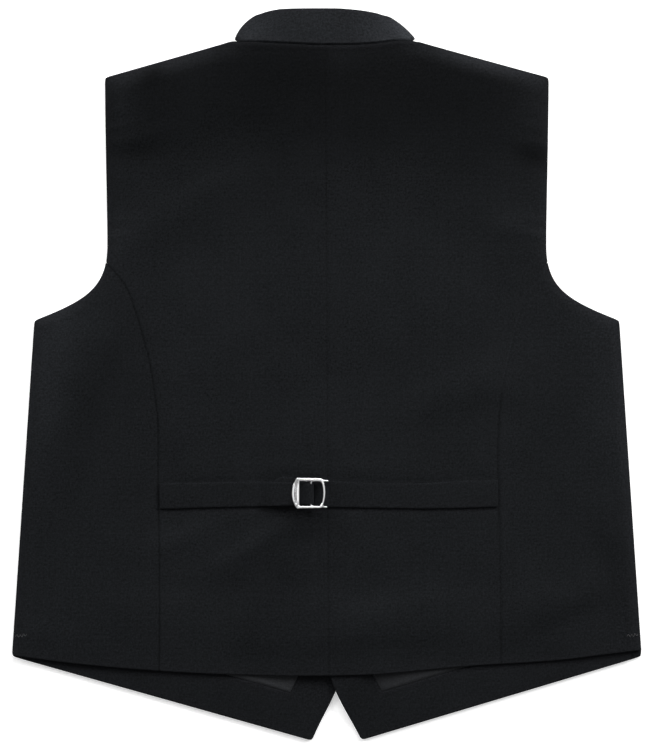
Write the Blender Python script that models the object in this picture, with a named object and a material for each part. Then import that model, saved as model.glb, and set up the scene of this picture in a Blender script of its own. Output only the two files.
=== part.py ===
"""A clergy vest laid face down, closed at the front, with its cinch belt fastened.

The frame has its origin at the bottom centre of the part's box, +Z up from the
table and +Y towards the neck. The wearer's left is at -X. Sizes below are in
millimetres and are scaled to metres when each mesh is made.

Layers from the table up: the left front and its facing and lining, the right
front lapped over it with its own facing and lining, the front half of the band
collar, the back's four panels, the belt's two straps and the buckle.
"""
import math

import bpy
import numpy as np

MM = 0.001

# Walls and clearances
CLOTH = 1.5            # fronts and back
LINING = 1.0           # facings and linings
BAND = 2.5             # the collar, two layers and its stiffener
STRAP = 1.2            # belt webbing
GAP = 0.3              # between pieces at a seam and in a stack

# Heights of the stack
INNER = CLOTH + GAP                     # underside of facing and lining
LAP = INNER + LINING + GAP              # rise of the right front over the left
REST = 4.4                              # underside of the back, clear of folds
RISE, RISE_REACH = 7.0, 115.0           # the back is lifted towards the collar and shoulders
EDGE = INNER                            # underside of the back at its sewn edges

# Plan sizes
SIDE_TOP, SIDE_HEM = (268.5, 49.8), (289.0, -257.5)
SHOULDER_TIP = (203.7, 272.8)
NECK_LEFT, NECK_RIGHT = (-85.5, 306.5), (81.4, 306.3)
ARMHOLE_FOOT = (201.5, 118.0)
PRINCESS_TOP = 103.0                    # height where the princess seam meets the armhole
CENTER_TOP, CENTER_HEM = -0.5, 2.8      # x of the centre-back seam
FACING_WIDTH = 37.0
SEWN_IN = 10.0                          # linings stop this far inside the sewn edges
ROLL_SIDE, ROLL_SHOULDER = 10.0, 17.0   # width over which the back turns down to a seam

# Back hem: x, y
HEM = np.array([(-289.0, -257.3), (-238.0, -264.1), (-155.0, -271.6), (-30.0, -276.1),
                (40.0, -274.9), (137.0, -266.8), (213.0, -261.8), (274.0, -254.2),
                (289.0, -252.6)])
# Collar seam along the back neck: x, y
NECK = np.array([(-85.5, 305.9), (-66.0, 304.9), (-34.0, 303.1), (-8.0, 301.8),
                 (11.0, 301.8), (30.0, 302.3), (50.0, 304.1), (66.0, 306.3), (81.4, 306.2)])
# Princess seams: y, x on the left, x on the right
PRINCESS = np.array([(-276.0, -153.6, 160.2), (-161.7, -153.6, 159.2), (-97.3, -154.6, 157.3),
                     (-32.9, -155.8, 158.9), (3.9, -161.0, 163.8), (31.5, -167.4, 170.2),
                     (59.1, -175.7, 177.9), (84.0, -186.2, 187.6), (103.0, -202.6, 202.6)])
# Front edges below y -240: handles of one curve each, and the hem's end
FRONTS = {
    "left": dict(sign=-1, edge=((18.0, -240.0), (18.0, -285.8), (0.0, -301.7), (-13.6, -336.0))),
    "right": dict(sign=1, edge=((-2.0, -240.0), (-2.0, -283.3), (14.5, -300.6), (31.8, -335.4))),
}
FRONT_HEM_END = (289.0, -258.5)
FRONT_NECK = 221.5                      # lowest point of the front neckline
CLOSURE = 8.0                           # x of the front's centre line

# Soft folds of the back: x, y, angle from +X, length, width, height
FOLDS = np.array([
    (-256.0, -60.0, 85.0, 300.0, 26.0, 1.6),      # along the left side
    (-210.0, -14.0, 66.0, 230.0, 20.0, -1.0),
    (256.0, -40.0, 94.0, 240.0, 24.0, 1.4),       # along the right side
    (256.0, -176.0, 100.0, 120.0, 20.0, -0.8),
    (-172.0, 204.0, 14.0, 80.0, 18.0, -1.0),      # pulls from the armholes
    (-128.0, 148.0, 27.0, 150.0, 24.0, 1.5),
    (186.0, 198.0, -10.0, 66.0, 16.0, -1.0),
    (176.0, 130.0, -24.0, 90.0, 20.0, 1.1),
    (-60.0, 70.0, 62.0, 180.0, 34.0, 0.8),        # middle of the back
    (96.0, 60.0, 108.0, 180.0, 32.0, 0.8),
    (140.0, -12.0, 8.0, 120.0, 22.0, 1.3),
    (-134.0, -152.0, 14.0, 90.0, 15.0, 1.4),      # below the belt
    (-62.0, -152.0, 34.0, 80.0, 13.0, 1.2),
    (-20.0, -188.0, 30.0, 100.0, 18.0, -0.8),
    (66.0, -226.0, 4.0, 190.0, 20.0, 1.6),
    (206.0, -208.0, 22.0, 120.0, 20.0, 1.3),
    (-150.0, -222.0, -3.0, 150.0, 22.0, 1.0),
])
BELT_Y, BELT_CALM = -109.5, 30.0        # the belt holds the cloth flat under it
# How far the back sinks onto the fronts at its hem: x, drop
HEM_DROP = np.array([(-289.0, 0.9), (-250.0, 0.2), (-110.0, 0.2), (-70.0, 1.2), (110.0, 1.2),
                     (200.0, 0.9), (235.0, 0.2), (289.0, 0.7)])

# Belt: x, upper edge y, lower edge y
LEFT_STRAP = np.array([(-153.2, -99.5, -123.0), (-107.0, -99.1, -121.5), (-56.0, -98.0, -120.3),
                       (-43.0, -98.3, -119.9), (-30.0, -98.6, -119.6), (-23.0, -99.5, -118.5),
                       (-5.0, -99.5, -118.5)])
RIGHT_STRAP = np.array([(-49.7, -99.6, -115.5), (-46.5, -95.8, -118.2), (-41.0, -93.4, -119.5),
                        (-34.0, -94.2, -119.8), (-2.0, -97.2, -120.9), (44.0, -99.5, -121.8),
                        (90.0, -99.5, -122.6), (127.0, -97.3, -121.9), (156.8, -96.7, -120.8)])
# Buckle, heights above the back's surface
BAR_X, BAR_R, BAR_UP = -14.4, 0.8, 4.1
FRAME_UP, FRAME_THICK = 5.2, 1.8
BUCKLE_Y = -109.0


# ---------------------------------------------------------------- plan curves

def bezier(p0, p1, p2, p3, n=40):
    t = np.linspace(0.0, 1.0, n + 1)[:, None]
    p0, p1, p2, p3 = (np.array(p, float) for p in (p0, p1, p2, p3))
    return (1 - t) ** 3 * p0 + 3 * (1 - t) ** 2 * t * p1 + 3 * (1 - t) * t * t * p2 + t ** 3 * p3


def smooth(t):
    t = np.clip(t, 0.0, 1.0)
    return t * t * (3 - 2 * t)


def steps(*runs):
    """Stations along a line, from runs of (start, end, cells)."""
    out = [runs[0][0]]
    for start, end, cells in runs:
        out += list(np.linspace(start, end, cells + 1)[1:])
    return np.array(out, float)


def through(table, n=8):
    """A smooth curve through the rows of a table, whose first column only rises."""
    t, v = table[:, 0], table[:, 1:]
    slope = np.gradient(v, t, axis=0)
    out = []
    for k in range(len(t) - 1):
        h = t[k + 1] - t[k]
        for w in np.arange(n) / n:
            a, b = 2 * w ** 3 - 3 * w ** 2 + 1, w ** 3 - 2 * w ** 2 + w
            c, d = -2 * w ** 3 + 3 * w ** 2, w ** 3 - w ** 2
            out.append(np.r_[t[k] + w * h, a * v[k] + b * h * slope[k] + c * v[k + 1]
                             + d * h * slope[k + 1]])
    out.append(table[-1])
    return np.array(out)


def along(curve, axis, values):
    """Points of a curve at the given x (axis 0) or y (axis 1) values."""
    curve = curve[np.argsort(curve[:, axis], kind="stable")]
    other = np.interp(values, curve[:, axis], curve[:, 1 - axis])
    pair = (values, other) if axis == 0 else (other, values)
    return np.stack(pair, -1)


def away(x, y, curve):
    """Plan distance from points to a curve."""
    p = np.stack([x, y], -1)[..., None, :]
    a, b = curve[:-1], curve[1:]
    ab = b - a
    t = np.clip(((p - a) * ab).sum(-1) / (ab * ab).sum(-1), 0.0, 1.0)
    return np.sqrt(((p - (a + t[..., None] * ab)) ** 2).sum(-1)).min(-1)


def shifted(curve, d):
    """The curve moved d to the left of its direction of travel."""
    run = np.gradient(curve, axis=0)
    run /= np.linalg.norm(run, axis=1)[:, None]
    return curve + d * np.stack([-run[:, 1], run[:, 0]], -1)


HEM, NECK = through(HEM), through(NECK)


def armhole(sign, inset=0.0):
    """Armhole from the side seam's top to the shoulder tip."""
    low = bezier((SIDE_TOP[0], SIDE_TOP[1]), (224.2, 67.4), (201.5, 78.0), ARMHOLE_FOOT)
    high = bezier(ARMHOLE_FOOT, (201.2, 140.0), (203.2, 200.0), SHOULDER_TIP)
    curve = np.vstack([low, high[1:]])
    curve[:, 0] -= inset * smooth((curve[:, 1] - 56) / 30) * smooth((270 - curve[:, 1]) / 30)
    return curve * (sign, 1)


def neck_point(sign):
    return np.array(NECK_LEFT if sign < 0 else NECK_RIGHT)


def princess(sign):
    return through(PRINCESS)[:, [1 if sign < 0 else 2, 0]]


def side_seam(sign):
    return np.array([SIDE_HEM, SIDE_TOP]) * (sign, 1)


SEWN = {s: np.vstack([np.array([(SIDE_HEM[0], SIDE_HEM[1] - 20)]) * (s, 1), side_seam(s),
                      armhole(s)[1:]]) for s in (-1, 1)}
SHOULDER_SEAM = {s: np.array([armhole(s)[-1], neck_point(s)]) for s in (-1, 1)}
SHOULDERS = np.vstack([[(-SHOULDER_TIP[0], SHOULDER_TIP[1])], NECK[::4], [SHOULDER_TIP]])


# ------------------------------------------------------------- height of cloth

def lap(x, y):
    """Rise of the right front where it climbs over the left front's edge."""
    edge = np.vstack([bezier(*FRONTS["left"]["edge"]), [(18.0, 400.0)]])
    edge = edge[np.argsort(edge[:, 1])]
    d = x - np.interp(y, edge[:, 1], edge[:, 0])
    return LAP * (1 - smooth((d - 10) / 24))


def folds(x, y):
    z = np.zeros_like(x)
    for fx, fy, angle, length, width, height in FOLDS:
        c, s = math.cos(math.radians(angle)), math.sin(math.radians(angle))
        a, b = (x - fx) * c + (y - fy) * s, -(x - fx) * s + (y - fy) * c
        z += height * np.exp(-(a / (0.45 * length)) ** 2 - (b / width) ** 2)
    return z * (1 - np.exp(-((y - BELT_Y) / BELT_CALM) ** 2))


def round_over(d, reach):
    """Share of the full height at a distance from a sewn edge, steepest at the edge."""
    return 1 - (1 - np.clip(d / reach, 0, 1)) ** 2


def back_under(x, y):
    """Underside of the back's panels."""
    x, y = np.asarray(x, float), np.asarray(y, float)
    sides = np.minimum(away(x, y, SEWN[-1]), away(x, y, SEWN[1]))
    seams = np.minimum(away(x, y, SHOULDER_SEAM[-1]), away(x, y, SHOULDER_SEAM[1]))
    near_neck = np.minimum(np.hypot(x - NECK_LEFT[0], y - NECK_LEFT[1]),
                           np.hypot(x - NECK_RIGHT[0], y - NECK_RIGHT[1]))
    ridge = smooth((x + 76) / 68) * smooth((94 - x) / 68) * smooth((272 - y) / 46)
    rise = RISE * (1 - smooth(away(x, y, SHOULDERS) / RISE_REACH))
    rise *= (0.4 + 0.6 * smooth(near_neck / 80)) * (0.35 + 0.65 * smooth(sides / 60))
    drop = np.interp(x, HEM_DROP[:, 0], HEM_DROP[:, 1]) * smooth((-240 - y) / 24)
    full = REST + LAP * ridge + rise + np.maximum(folds(x, y) - drop, -1.2)
    edge = EDGE + 1.6 * (1 - smooth(near_neck / 40)) + 0.9 * smooth((-236 - y) / 20)
    return edge + (full - edge) * round_over(sides, ROLL_SIDE) * round_over(seams, ROLL_SHOULDER)


def back_top(x, y):
    return back_under(x, y) + CLOTH


# ----------------------------------------------------------------- mesh makers

def coons(bottom, top, left, right):
    """Plan grid [column, row] between four sides that share their corners."""
    def share(a, b):
        steps_a = np.cumsum(np.r_[0, np.linalg.norm(np.diff(a, axis=0), axis=1)])
        steps_b = np.cumsum(np.r_[0, np.linalg.norm(np.diff(b, axis=0), axis=1)])
        return (steps_a / steps_a[-1] + steps_b / steps_b[-1]) / 2
    u, v = share(bottom, top)[:, None, None], share(left, right)[None, :, None]
    b, t, l, r = bottom[:, None], top[:, None], left[None], right[None]
    corners = ((1 - u) * (1 - v) * bottom[0] + u * (1 - v) * bottom[-1]
               + (1 - u) * v * top[0] + u * v * top[-1])
    return (1 - v) * b + v * t + (1 - u) * l + u * r - corners


def lift(plan, z):
    return np.concatenate([plan, np.broadcast_to(z, plan.shape[:2])[..., None]], -1)


def material(name, color, roughness, metallic=0.0):
    mat = bpy.data.materials.new(name)
    mat.use_nodes = True
    shader = mat.node_tree.nodes["Principled BSDF"]
    shader.inputs["Base Color"].default_value = (*color, 1.0)
    shader.inputs["Roughness"].default_value = roughness
    shader.inputs["Metallic"].default_value = metallic
    mat.diffuse_color = (*color, 1.0)
    return mat


def add_object(name, points, faces, look):
    """One closed body; its faces are turned outwards by its signed volume."""
    points = np.asarray(points, float) * MM
    volume = 0.0
    for face in faces:
        for i in range(1, len(face) - 1):
            a, b, c = points[face[0]], points[face[i]], points[face[i + 1]]
            volume += np.dot(a, np.cross(b, c))
    if volume < 0:
        faces = [tuple(reversed(face)) for face in faces]
    mesh = bpy.data.meshes.new(name)
    mesh.from_pydata([tuple(p) for p in points], [], faces)
    mesh.update()
    mesh.materials.append(material(name, *look))
    obj = bpy.data.objects.new(name, mesh)
    bpy.context.scene.collection.objects.link(obj)
    mesh.shade_smooth()
    mesh.set_sharp_from_angle(angle=math.radians(35))
    return obj


def sheet(name, under, over, look, cells=None):
    """A cloth wall between two grids [column, row, xyz], over the chosen cells."""
    nu, nv = under.shape[0] - 1, under.shape[1] - 1
    if cells is None:
        cells = np.ones((nu, nv), bool)
    used, points = {}, []

    def vert(layer, i, j):
        key = (layer, i, j)
        if key not in used:
            used[key] = len(points)
            points.append((under, over)[layer][i, j])
        return used[key]

    faces = []
    for i in range(nu):
        for j in range(nv):
            if not cells[i, j]:
                continue
            ring = [(i, j), (i + 1, j), (i + 1, j + 1), (i, j + 1)]
            for a, b, c in ((0, 1, 2), (0, 2, 3)):
                faces.append((vert(1, *ring[a]), vert(1, *ring[b]), vert(1, *ring[c])))
                faces.append((vert(0, *ring[c]), vert(0, *ring[b]), vert(0, *ring[a])))
            for k, (di, dj) in enumerate([(0, -1), (1, 0), (0, 1), (-1, 0)]):
                a, b = i + di, j + dj
                if 0 <= a < nu and 0 <= b < nv and cells[a, b]:
                    continue
                p, q = ring[k], ring[(k + 1) % 4]
                faces.append((vert(0, *p), vert(0, *q), vert(1, *q), vert(1, *p)))
    return add_object(name, points, faces, look)


def ribbon(name, centers, normals, thick, look):
    """A band from its middle surface [station, across, xyz] and its normals."""
    offset = normals * (thick / 2)
    return sheet(name, centers - offset, centers + offset, look)


def tube(name, path, radius, look, sides=10):
    """A round rod along a path in plan, with rounded ends."""
    path = np.asarray(path, float)
    run = np.gradient(path, axis=0)
    run /= np.linalg.norm(run, axis=1)[:, None]
    points, faces = [], []
    for p, t in zip(path, run):
        across = np.cross(t, (0, 0, 1.0))
        across /= np.linalg.norm(across)
        upward = np.cross(across, t)
        r = radius(p) if callable(radius) else radius
        for k in range(sides):
            a = 2 * math.pi * k / sides
            points.append(p + r * (math.cos(a) * across + math.sin(a) * upward))
    for i in range(len(path) - 1):
        for k in range(sides):
            a, b = i * sides + k, i * sides + (k + 1) % sides
            faces.append((a, b, b + sides, a + sides))
    faces.append(tuple(reversed(range(sides))))
    faces.append(tuple(range((len(path) - 1) * sides, len(path) * sides)))
    return add_object(name, points, faces, look)


# ---------------------------------------------------------------------- pieces

WOOL = ((0.016, 0.017, 0.019), 0.85)
SATIN = ((0.020, 0.021, 0.024), 0.6)
WEB = ((0.012, 0.013, 0.015), 0.75)
STEEL = ((0.62, 0.62, 0.64), 0.25, 1.0)


def crossing(a, b):
    """Where two plan curves cross."""
    for p, q in zip(a[:-1], a[1:]):
        for u, v in zip(b[:-1], b[1:]):
            d, e = q - p, v - u
            det = d[0] * e[1] - d[1] * e[0]
            if abs(det) < 1e-9:
                continue
            t = ((u - p)[0] * e[1] - (u - p)[1] * e[0]) / det
            w = ((u - p)[0] * d[1] - (u - p)[1] * d[0]) / det
            if -1e-6 <= t <= 1 + 1e-6 and -1e-6 <= w <= 1 + 1e-6:
                return p + t * d
    raise ValueError("the curves do not cross")


def trimmed(curves):
    """Neighbouring curves, each run on past its ends, cut where they cross."""
    grown = []
    for c in curves:
        head, tail = c[0] - c[1], c[-1] - c[-2]
        grown.append(np.vstack([[c[0] + 25 * head / np.linalg.norm(head)], c,
                                [c[-1] + 25 * tail / np.linalg.norm(tail)]]))
    corners = [crossing(a, b) for a, b in zip(grown[:-1], grown[1:])]
    out = []
    for k, c in enumerate(curves):
        run = c[-1] - c[0]
        keep = c
        if k > 0:
            keep = keep[(keep - corners[k - 1]) @ run > 0.5 * np.linalg.norm(run) / len(c)]
            keep = np.vstack([[corners[k - 1]], keep])
        if k < len(corners):
            keep = keep[(corners[k] - keep) @ run > 0.5 * np.linalg.norm(run) / len(c)]
            keep = np.vstack([keep, [corners[k]]])
        out.append(keep)
    return out


def front_neckline(s):
    """From the neck point down to the front's centre line."""
    start = neck_point(s) + (0, -0.9)
    return bezier(start, (start[0] - 3.4 * s, 258.0), (CLOSURE + 56 * s, FRONT_NECK),
                  (CLOSURE, FRONT_NECK))


def front_sides(side, inset):
    """Centre edge going down, outer side going up, top going out; all inset alike."""
    row = FRONTS[side]
    s, curve = row["sign"], bezier(*row["edge"])
    edge = np.vstack([[(curve[0][0], 260.0)], curve])
    hem_end = np.array(FRONT_HEM_END) * (s, 1)
    tip = np.array(SHOULDER_TIP) * (s, 1)
    seam = np.array([hem_end, np.array(SIDE_TOP) * (s, 1)])
    shoulder = np.linspace(tip, neck_point(s) + (0, -0.9), 5)
    neckline = np.vstack([front_neckline(s), [(CLOSURE - 40 * s, FRONT_NECK)]])
    parts = [seam, armhole(s, 3.0), shoulder, neckline]
    if inset:
        parts = trimmed([shifted(c, inset * s) for c in parts])
    seam, arm, shoulder, neckline = parts
    outer = np.vstack([seam, arm[1:]])
    return s, edge, curve[-1], outer, neckline[::-1], shoulder[::-1]


def spaced(curve, count):
    """The curve as evenly spaced points."""
    run = np.cumsum(np.r_[0, np.linalg.norm(np.diff(curve, axis=0), axis=1)])
    at = np.linspace(0, run[-1], count + 1)
    return np.stack([np.interp(at, run, curve[:, 0]), np.interp(at, run, curve[:, 1])], -1)


def front_grid(side, inset=0.0):
    """Plan grid of a front; its first k columns and first m rows are the facing."""
    s, edge, point, outer, neckline, shoulder = front_sides(side, inset)
    k, m = 4, 3
    hem_end = np.array(FRONT_HEM_END) * (s, 1)
    hem_run = (hem_end - point) / np.linalg.norm(hem_end - point)
    hem = np.array([point, hem_end])
    hem_inner = shifted(hem, FACING_WIDTH * s) + np.array([[-40.0], [40.0]]) * hem_run
    down = shifted(edge, FACING_WIDTH * s)            # the edge runs down, so inwards is +s
    corner = crossing(down, hem_inner)
    foot = point + hem_run * np.dot(corner - point, hem_run)
    near = edge[np.argmin(np.linalg.norm(edge - corner, axis=1))]
    if inset:
        hem_end = hem_end - hem_run * inset
    inner_end = crossing(hem_inner, outer)
    # stations
    t = np.linspace(0, 1, k + 1)[:, None]
    w = np.linspace(0, 1, m + 1)[:, None]
    cols = steps((0, 0.3, 3), (0.3, 1.0, 7))[:, None]
    top_y = neckline[0][1]
    cf_y = steps((near[1], -240, 3), (-240, 49.8, 4), (49.8, 118, 5), (118, top_y, 3))
    side_y = steps((inner_end[1], -190, 3), (-190, 44, 4), (44, 58, 2), (58, 118, 3),
                   (118, outer[-1][1], 3))
    down_y = cf_y + (corner[1] - near[1]) * (1 - smooth((cf_y - near[1]) / 60))
    left, middle = along(edge, 1, cf_y), along(down, 1, down_y)
    right = along(outer, 1, side_y)
    right[0], left[0], middle[0] = inner_end, near, corner
    # top: the neckline over the facing, round to the neck point, out along the shoulder
    neck = along(neckline, 0, np.linspace(left[-1][0], middle[-1][0], k + 1))
    left[-1], middle[-1] = neck[0], neck[-1]
    rest = neckline[(neckline[:, 0] - neck[-1][0]) * s > 0.5]
    around = spaced(np.vstack([[neck[-1]], rest]), 6)
    top = np.vstack([around, spaced(shoulder, len(cols) - 7)[1:]])
    right[-1] = top[-1]
    lerp = lambda a, b, f: a + (b - a) * f
    cut = lerp(foot, corner, w)
    edge_low = along(edge, 1, np.linspace(point[1], near[1], m + 1))
    corner_block = coons(lerp(point, foot, t), lerp(near, corner, t), edge_low, cut)
    hem_block = coons(lerp(foot, hem_end, cols), lerp(corner, inner_end, cols), cut,
                      lerp(hem_end, inner_end, w))
    strip_block = coons(lerp(near, corner, t), neck, left, middle)
    main_block = coons(lerp(corner, inner_end, cols), top, middle, right)
    low = np.concatenate([corner_block, hem_block[1:]], 0)
    high = np.concatenate([strip_block, main_block[1:]], 0)
    return np.concatenate([low, high[:, 1:]], 1), k, m, s


def make_front(side):
    plan, k, m, s = front_grid(side)
    rise = lambda g: lap(g[..., 0], g[..., 1]) if s > 0 else np.zeros(g.shape[:2])
    sheet("front_" + side, lift(plan, rise(plan)), lift(plan, rise(plan) + CLOTH), WOOL)
    plan, k, m, s = front_grid(side, SEWN_IN)
    i, j = np.meshgrid(np.arange(plan.shape[0] - 1), np.arange(plan.shape[1] - 1), indexing="ij")
    facing = (i < k) | (j < m)
    floor = rise(plan) + INNER
    # the seam between facing and lining is opened by the gap, half from each
    for name, cells, d, look in (("facing_", facing, -GAP / 2, WOOL),
                                 ("lining_", ~facing, GAP / 2, SATIN)):
        grid = plan.copy()
        grid[k, m:, 0] += d * s
        grid[k:, m, 1] += d
        sheet(name + side, lift(grid, floor), lift(grid, floor + LINING), look, cells)


def center_x(y):
    return np.interp(y, (-276.0, 303.4), (CENTER_HEM, CENTER_TOP))


def make_back(sign, side):
    half = GAP / 2
    seam = princess(sign)
    arm = armhole(sign)
    # centre panel: rows follow the belt, the top of the princess seam and the armhole
    rows_in = steps((0, 5, 1), (5, 146, 8), (146, 178, 3), (178, 376, 9), (376, 551, 8),
                    (551, 574, 2), (574, 579.4, 1))
    hem_c = along(HEM, 0, np.array([center_x(-276) + sign * half]))[0]
    hem_p = along(HEM, 0, np.array([seam[0][0] - sign * half]))[0]
    top_c = along(NECK, 0, np.array([center_x(303) + sign * half]))[0]
    inner_y = hem_c[1] + (top_c[1] - hem_c[1]) * rows_in / rows_in[-1]
    inner = np.stack([center_x(inner_y) + sign * half, inner_y], -1)
    outer_y = steps((hem_p[1], hem_p[1] + 5, 1), (hem_p[1] + 5, -130, 8), (-130, -98, 3),
                    (-98, 20, 4), (20, PRINCESS_TOP, 5), (PRINCESS_TOP, SHOULDER_TIP[1] - 26, 8),
                    (SHOULDER_TIP[1] - 26, SHOULDER_TIP[1] - 6, 2),
                    (SHOULDER_TIP[1] - 6, SHOULDER_TIP[1], 1))
    edge = np.vstack([seam, arm[arm[:, 1] > PRINCESS_TOP + 1]])
    outer = along(edge, 1, outer_y)
    low = outer_y <= PRINCESS_TOP
    outer[low, 0] -= sign * half * 1.2
    inner[0], outer[0], inner[-1] = hem_c, hem_p, top_c
    share = steps((0, 0.94, 11), (0.94, 0.975, 1), (0.975, 1, 1))
    bottom = along(HEM, 0, inner[0][0] + (outer[0][0] - inner[0][0]) * share)
    npt = neck_point(sign)
    neck_x = np.linspace(top_c[0], npt[0], 7)
    neck = along(NECK, 0, neck_x)
    neck[-1] = npt + (0, -0.6)
    out = np.r_[np.linspace(0, 0.92, len(share) - 8)[1:], 0.965, 1.0][:, None]
    top = np.vstack([neck, npt + (outer[-1] - npt) * out])
    plan = coons(bottom, top, inner, outer)
    z = back_under(plan[..., 0], plan[..., 1])
    sheet("back_center_" + side, lift(plan, z), lift(plan, z + CLOTH), WOOL)
    # side panel: from the princess seam out to the side seam, up to the armhole
    hem_i = along(HEM, 0, np.array([seam[0][0] + sign * half]))[0]
    hem_o = np.array([SIDE_HEM[0] * sign, HEM[0 if sign < 0 else -1][1]])
    tip = np.array([202.8 * sign, PRINCESS_TOP - 0.4])
    in_y = np.r_[outer_y[low][:-1], tip[1]]
    side_y = hem_o[1] + (SIDE_TOP[1] - hem_o[1]) * (in_y - in_y[0]) / (in_y[-1] - in_y[0])
    inner = along(seam, 1, in_y)
    inner[:, 0] += sign * half * 1.2
    outer = along(side_seam(sign), 1, side_y)
    inner[0], outer[0], inner[-1] = hem_i, hem_o, tip
    share = steps((0, 0.86, 8), (0.86, 0.93, 1), (0.93, 0.975, 1), (0.975, 1, 1))
    bottom = along(HEM, 0, inner[0][0] + (outer[0][0] - inner[0][0]) * share)
    under = arm[arm[:, 1] < tip[1]][::-1]
    top = along(np.vstack([[tip], under]), 0, tip[0] + (SIDE_TOP[0] * sign - tip[0]) * share)
    outer[-1] = top[-1]
    plan = coons(bottom, top, inner, outer)
    z = back_under(plan[..., 0], plan[..., 1])
    sheet("back_side_" + side, lift(plan, z), lift(plan, z + CLOTH), WOOL)


def make_collar():
    """The band: its front half below, folded over at both ends into its back half."""
    mid, wrap = BAND / 2, (4.45 - BAND / 2) / 2
    # folds: middle of the seam end, middle of the free end, its upper corner, bow of the end
    ends = {-1: ((-82.0, 306.7), (-66.0, 325.6), (-62.0, 330.6), 2.5),
            1: ((78.6, 307.1), (58.5, 324.3), (53.6, 329.3), 1.4)}
    # front half: share of the way from the neck point to the centre, angle of the rib
    table = [(0.10, 30.0), (0.22, 24.0), (0.36, 28.0), (0.50, 40.0), (0.64, 55.0),
             (0.78, 70.0), (0.90, 82.0), (1.0, 90.0)]
    across = np.linspace(0, 1, 5)
    ribs, normals = [], []

    def rib(a, b, za, zb, bow, turn, out):
        line = a + (b - a) * across[:, None] + out * bow * (4 * across * (1 - across))[:, None]
        z = za + (zb - za) * across
        ribs.append(np.concatenate([line, z[:, None]], -1))
        normals.append(np.tile((out[0] * math.sin(turn), out[1] * math.sin(turn),
                                math.cos(turn)), (5, 1)))

    def front_half(sign):
        curve = shifted(front_neckline(sign), -0.7 * sign)
        rows = []
        for share in np.linspace(0.075, 1.0, 13):
            a = curve[int(round(share * 40))]
            if share == 1.0:
                a = np.array([CLOSURE + 0.3 * sign, FRONT_NECK + 0.7])
            c = math.radians(np.interp(share, *np.array(table).T))
            b = a + 30.0 * np.array([-sign * math.cos(c), math.sin(c)])
            rows.append((a, b))
        return rows

    def fold(sign, order):
        a, b, corner, bow = (np.array(v) for v in ends[sign])
        run = (b - a) / np.linalg.norm(b - a)
        out = np.array([run[1], -run[0]]) * sign
        for angle in order:
            turn = math.radians(angle)
            move = out * wrap * math.sin(turn)
            z = mid + wrap + wrap * math.cos(turn)
            # the free edge runs on to the upper half's corner, the seam end flares a little
            free = b + run * 2.0 * min(1.0, 1 + math.cos(turn))
            free = free + (corner - free) * max(math.cos(turn), 0.0) ** 2
            start = a - run * math.sin(turn) ** 2
            rib(start + move, free + move, z, z, bow, turn, out)

    for a, b in reversed(front_half(-1)):
        rib(a, b, mid, mid, 0.0, math.pi, np.array([-0.76, 0.64]))
    fold(-1, (180, 150, 120, 90, 60, 30, 0))
    # back half: x on the seam, x on the free edge, height of the free edge's middle
    top = np.array([(-61.0, 331.3), (-57.8, 332.3), (-52.3, 333.9), (-43.1, 335.5), (-34.0, 335.9),
                    (-22.0, 336.0), (0.0, 336.0), (11.9, 335.9), (21.1, 335.2), (30.3, 334.4),
                    (39.5, 333.0), (45.0, 331.9), (48.7, 330.9), (53.0, 329.3)])
    rows = [(-78.4, -59.2, 4.5), (-73.0, -54.4, 4.8), (-64.0, -47.0, 5.3), (-52.0, -39.0, 5.9),
            (-38.0, -29.0, 6.7), (-24.0, -18.0, 7.4), (-10.0, -8.0, 7.8), (4.0, 4.0, 7.9),
            (18.0, 14.0, 7.7), (32.0, 24.0, 7.1), (46.0, 33.0, 6.2), (58.0, 40.6, 5.5),
            (68.0, 46.6, 4.9), (74.0, 50.8, 4.5)]
    for seam_x, free_x, free_z in rows:
        a = along(NECK, 0, np.array([seam_x]))[0] + (0, GAP)
        b = along(top, 0, np.array([free_x]))[0]
        za = float(back_under(a[0], a[1] - 1.0)) + CLOTH / 2
        rib(a, b, max(za, 4.6), free_z, 0.0, 0.0, np.array([0.0, 1.0]))
    fold(1, (0, 30, 60, 90, 120, 150, 180))
    for a, b in front_half(1):
        rib(a, b, mid, mid, 0.0, math.pi, np.array([0.76, 0.64]))
    ribbon("collar", np.array(ribs), np.array(normals), BAND, WOOL)


def strap_surface(table, xs, heights, normals):
    """Middle surface of a strap from stations (x, height) over the back."""
    top = np.interp(xs, table[:, 0], table[:, 1])
    low = np.interp(xs, table[:, 0], table[:, 2])
    w = np.linspace(0, 1, 5)
    y = low[:, None] + (top - low)[:, None] * w
    x = np.broadcast_to(xs[:, None], y.shape)
    z = back_top(x, y) + heights[:, None]
    n = np.broadcast_to(normals[:, None, :], (*y.shape, 3))
    return np.stack([x, y, z], -1), n


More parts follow.
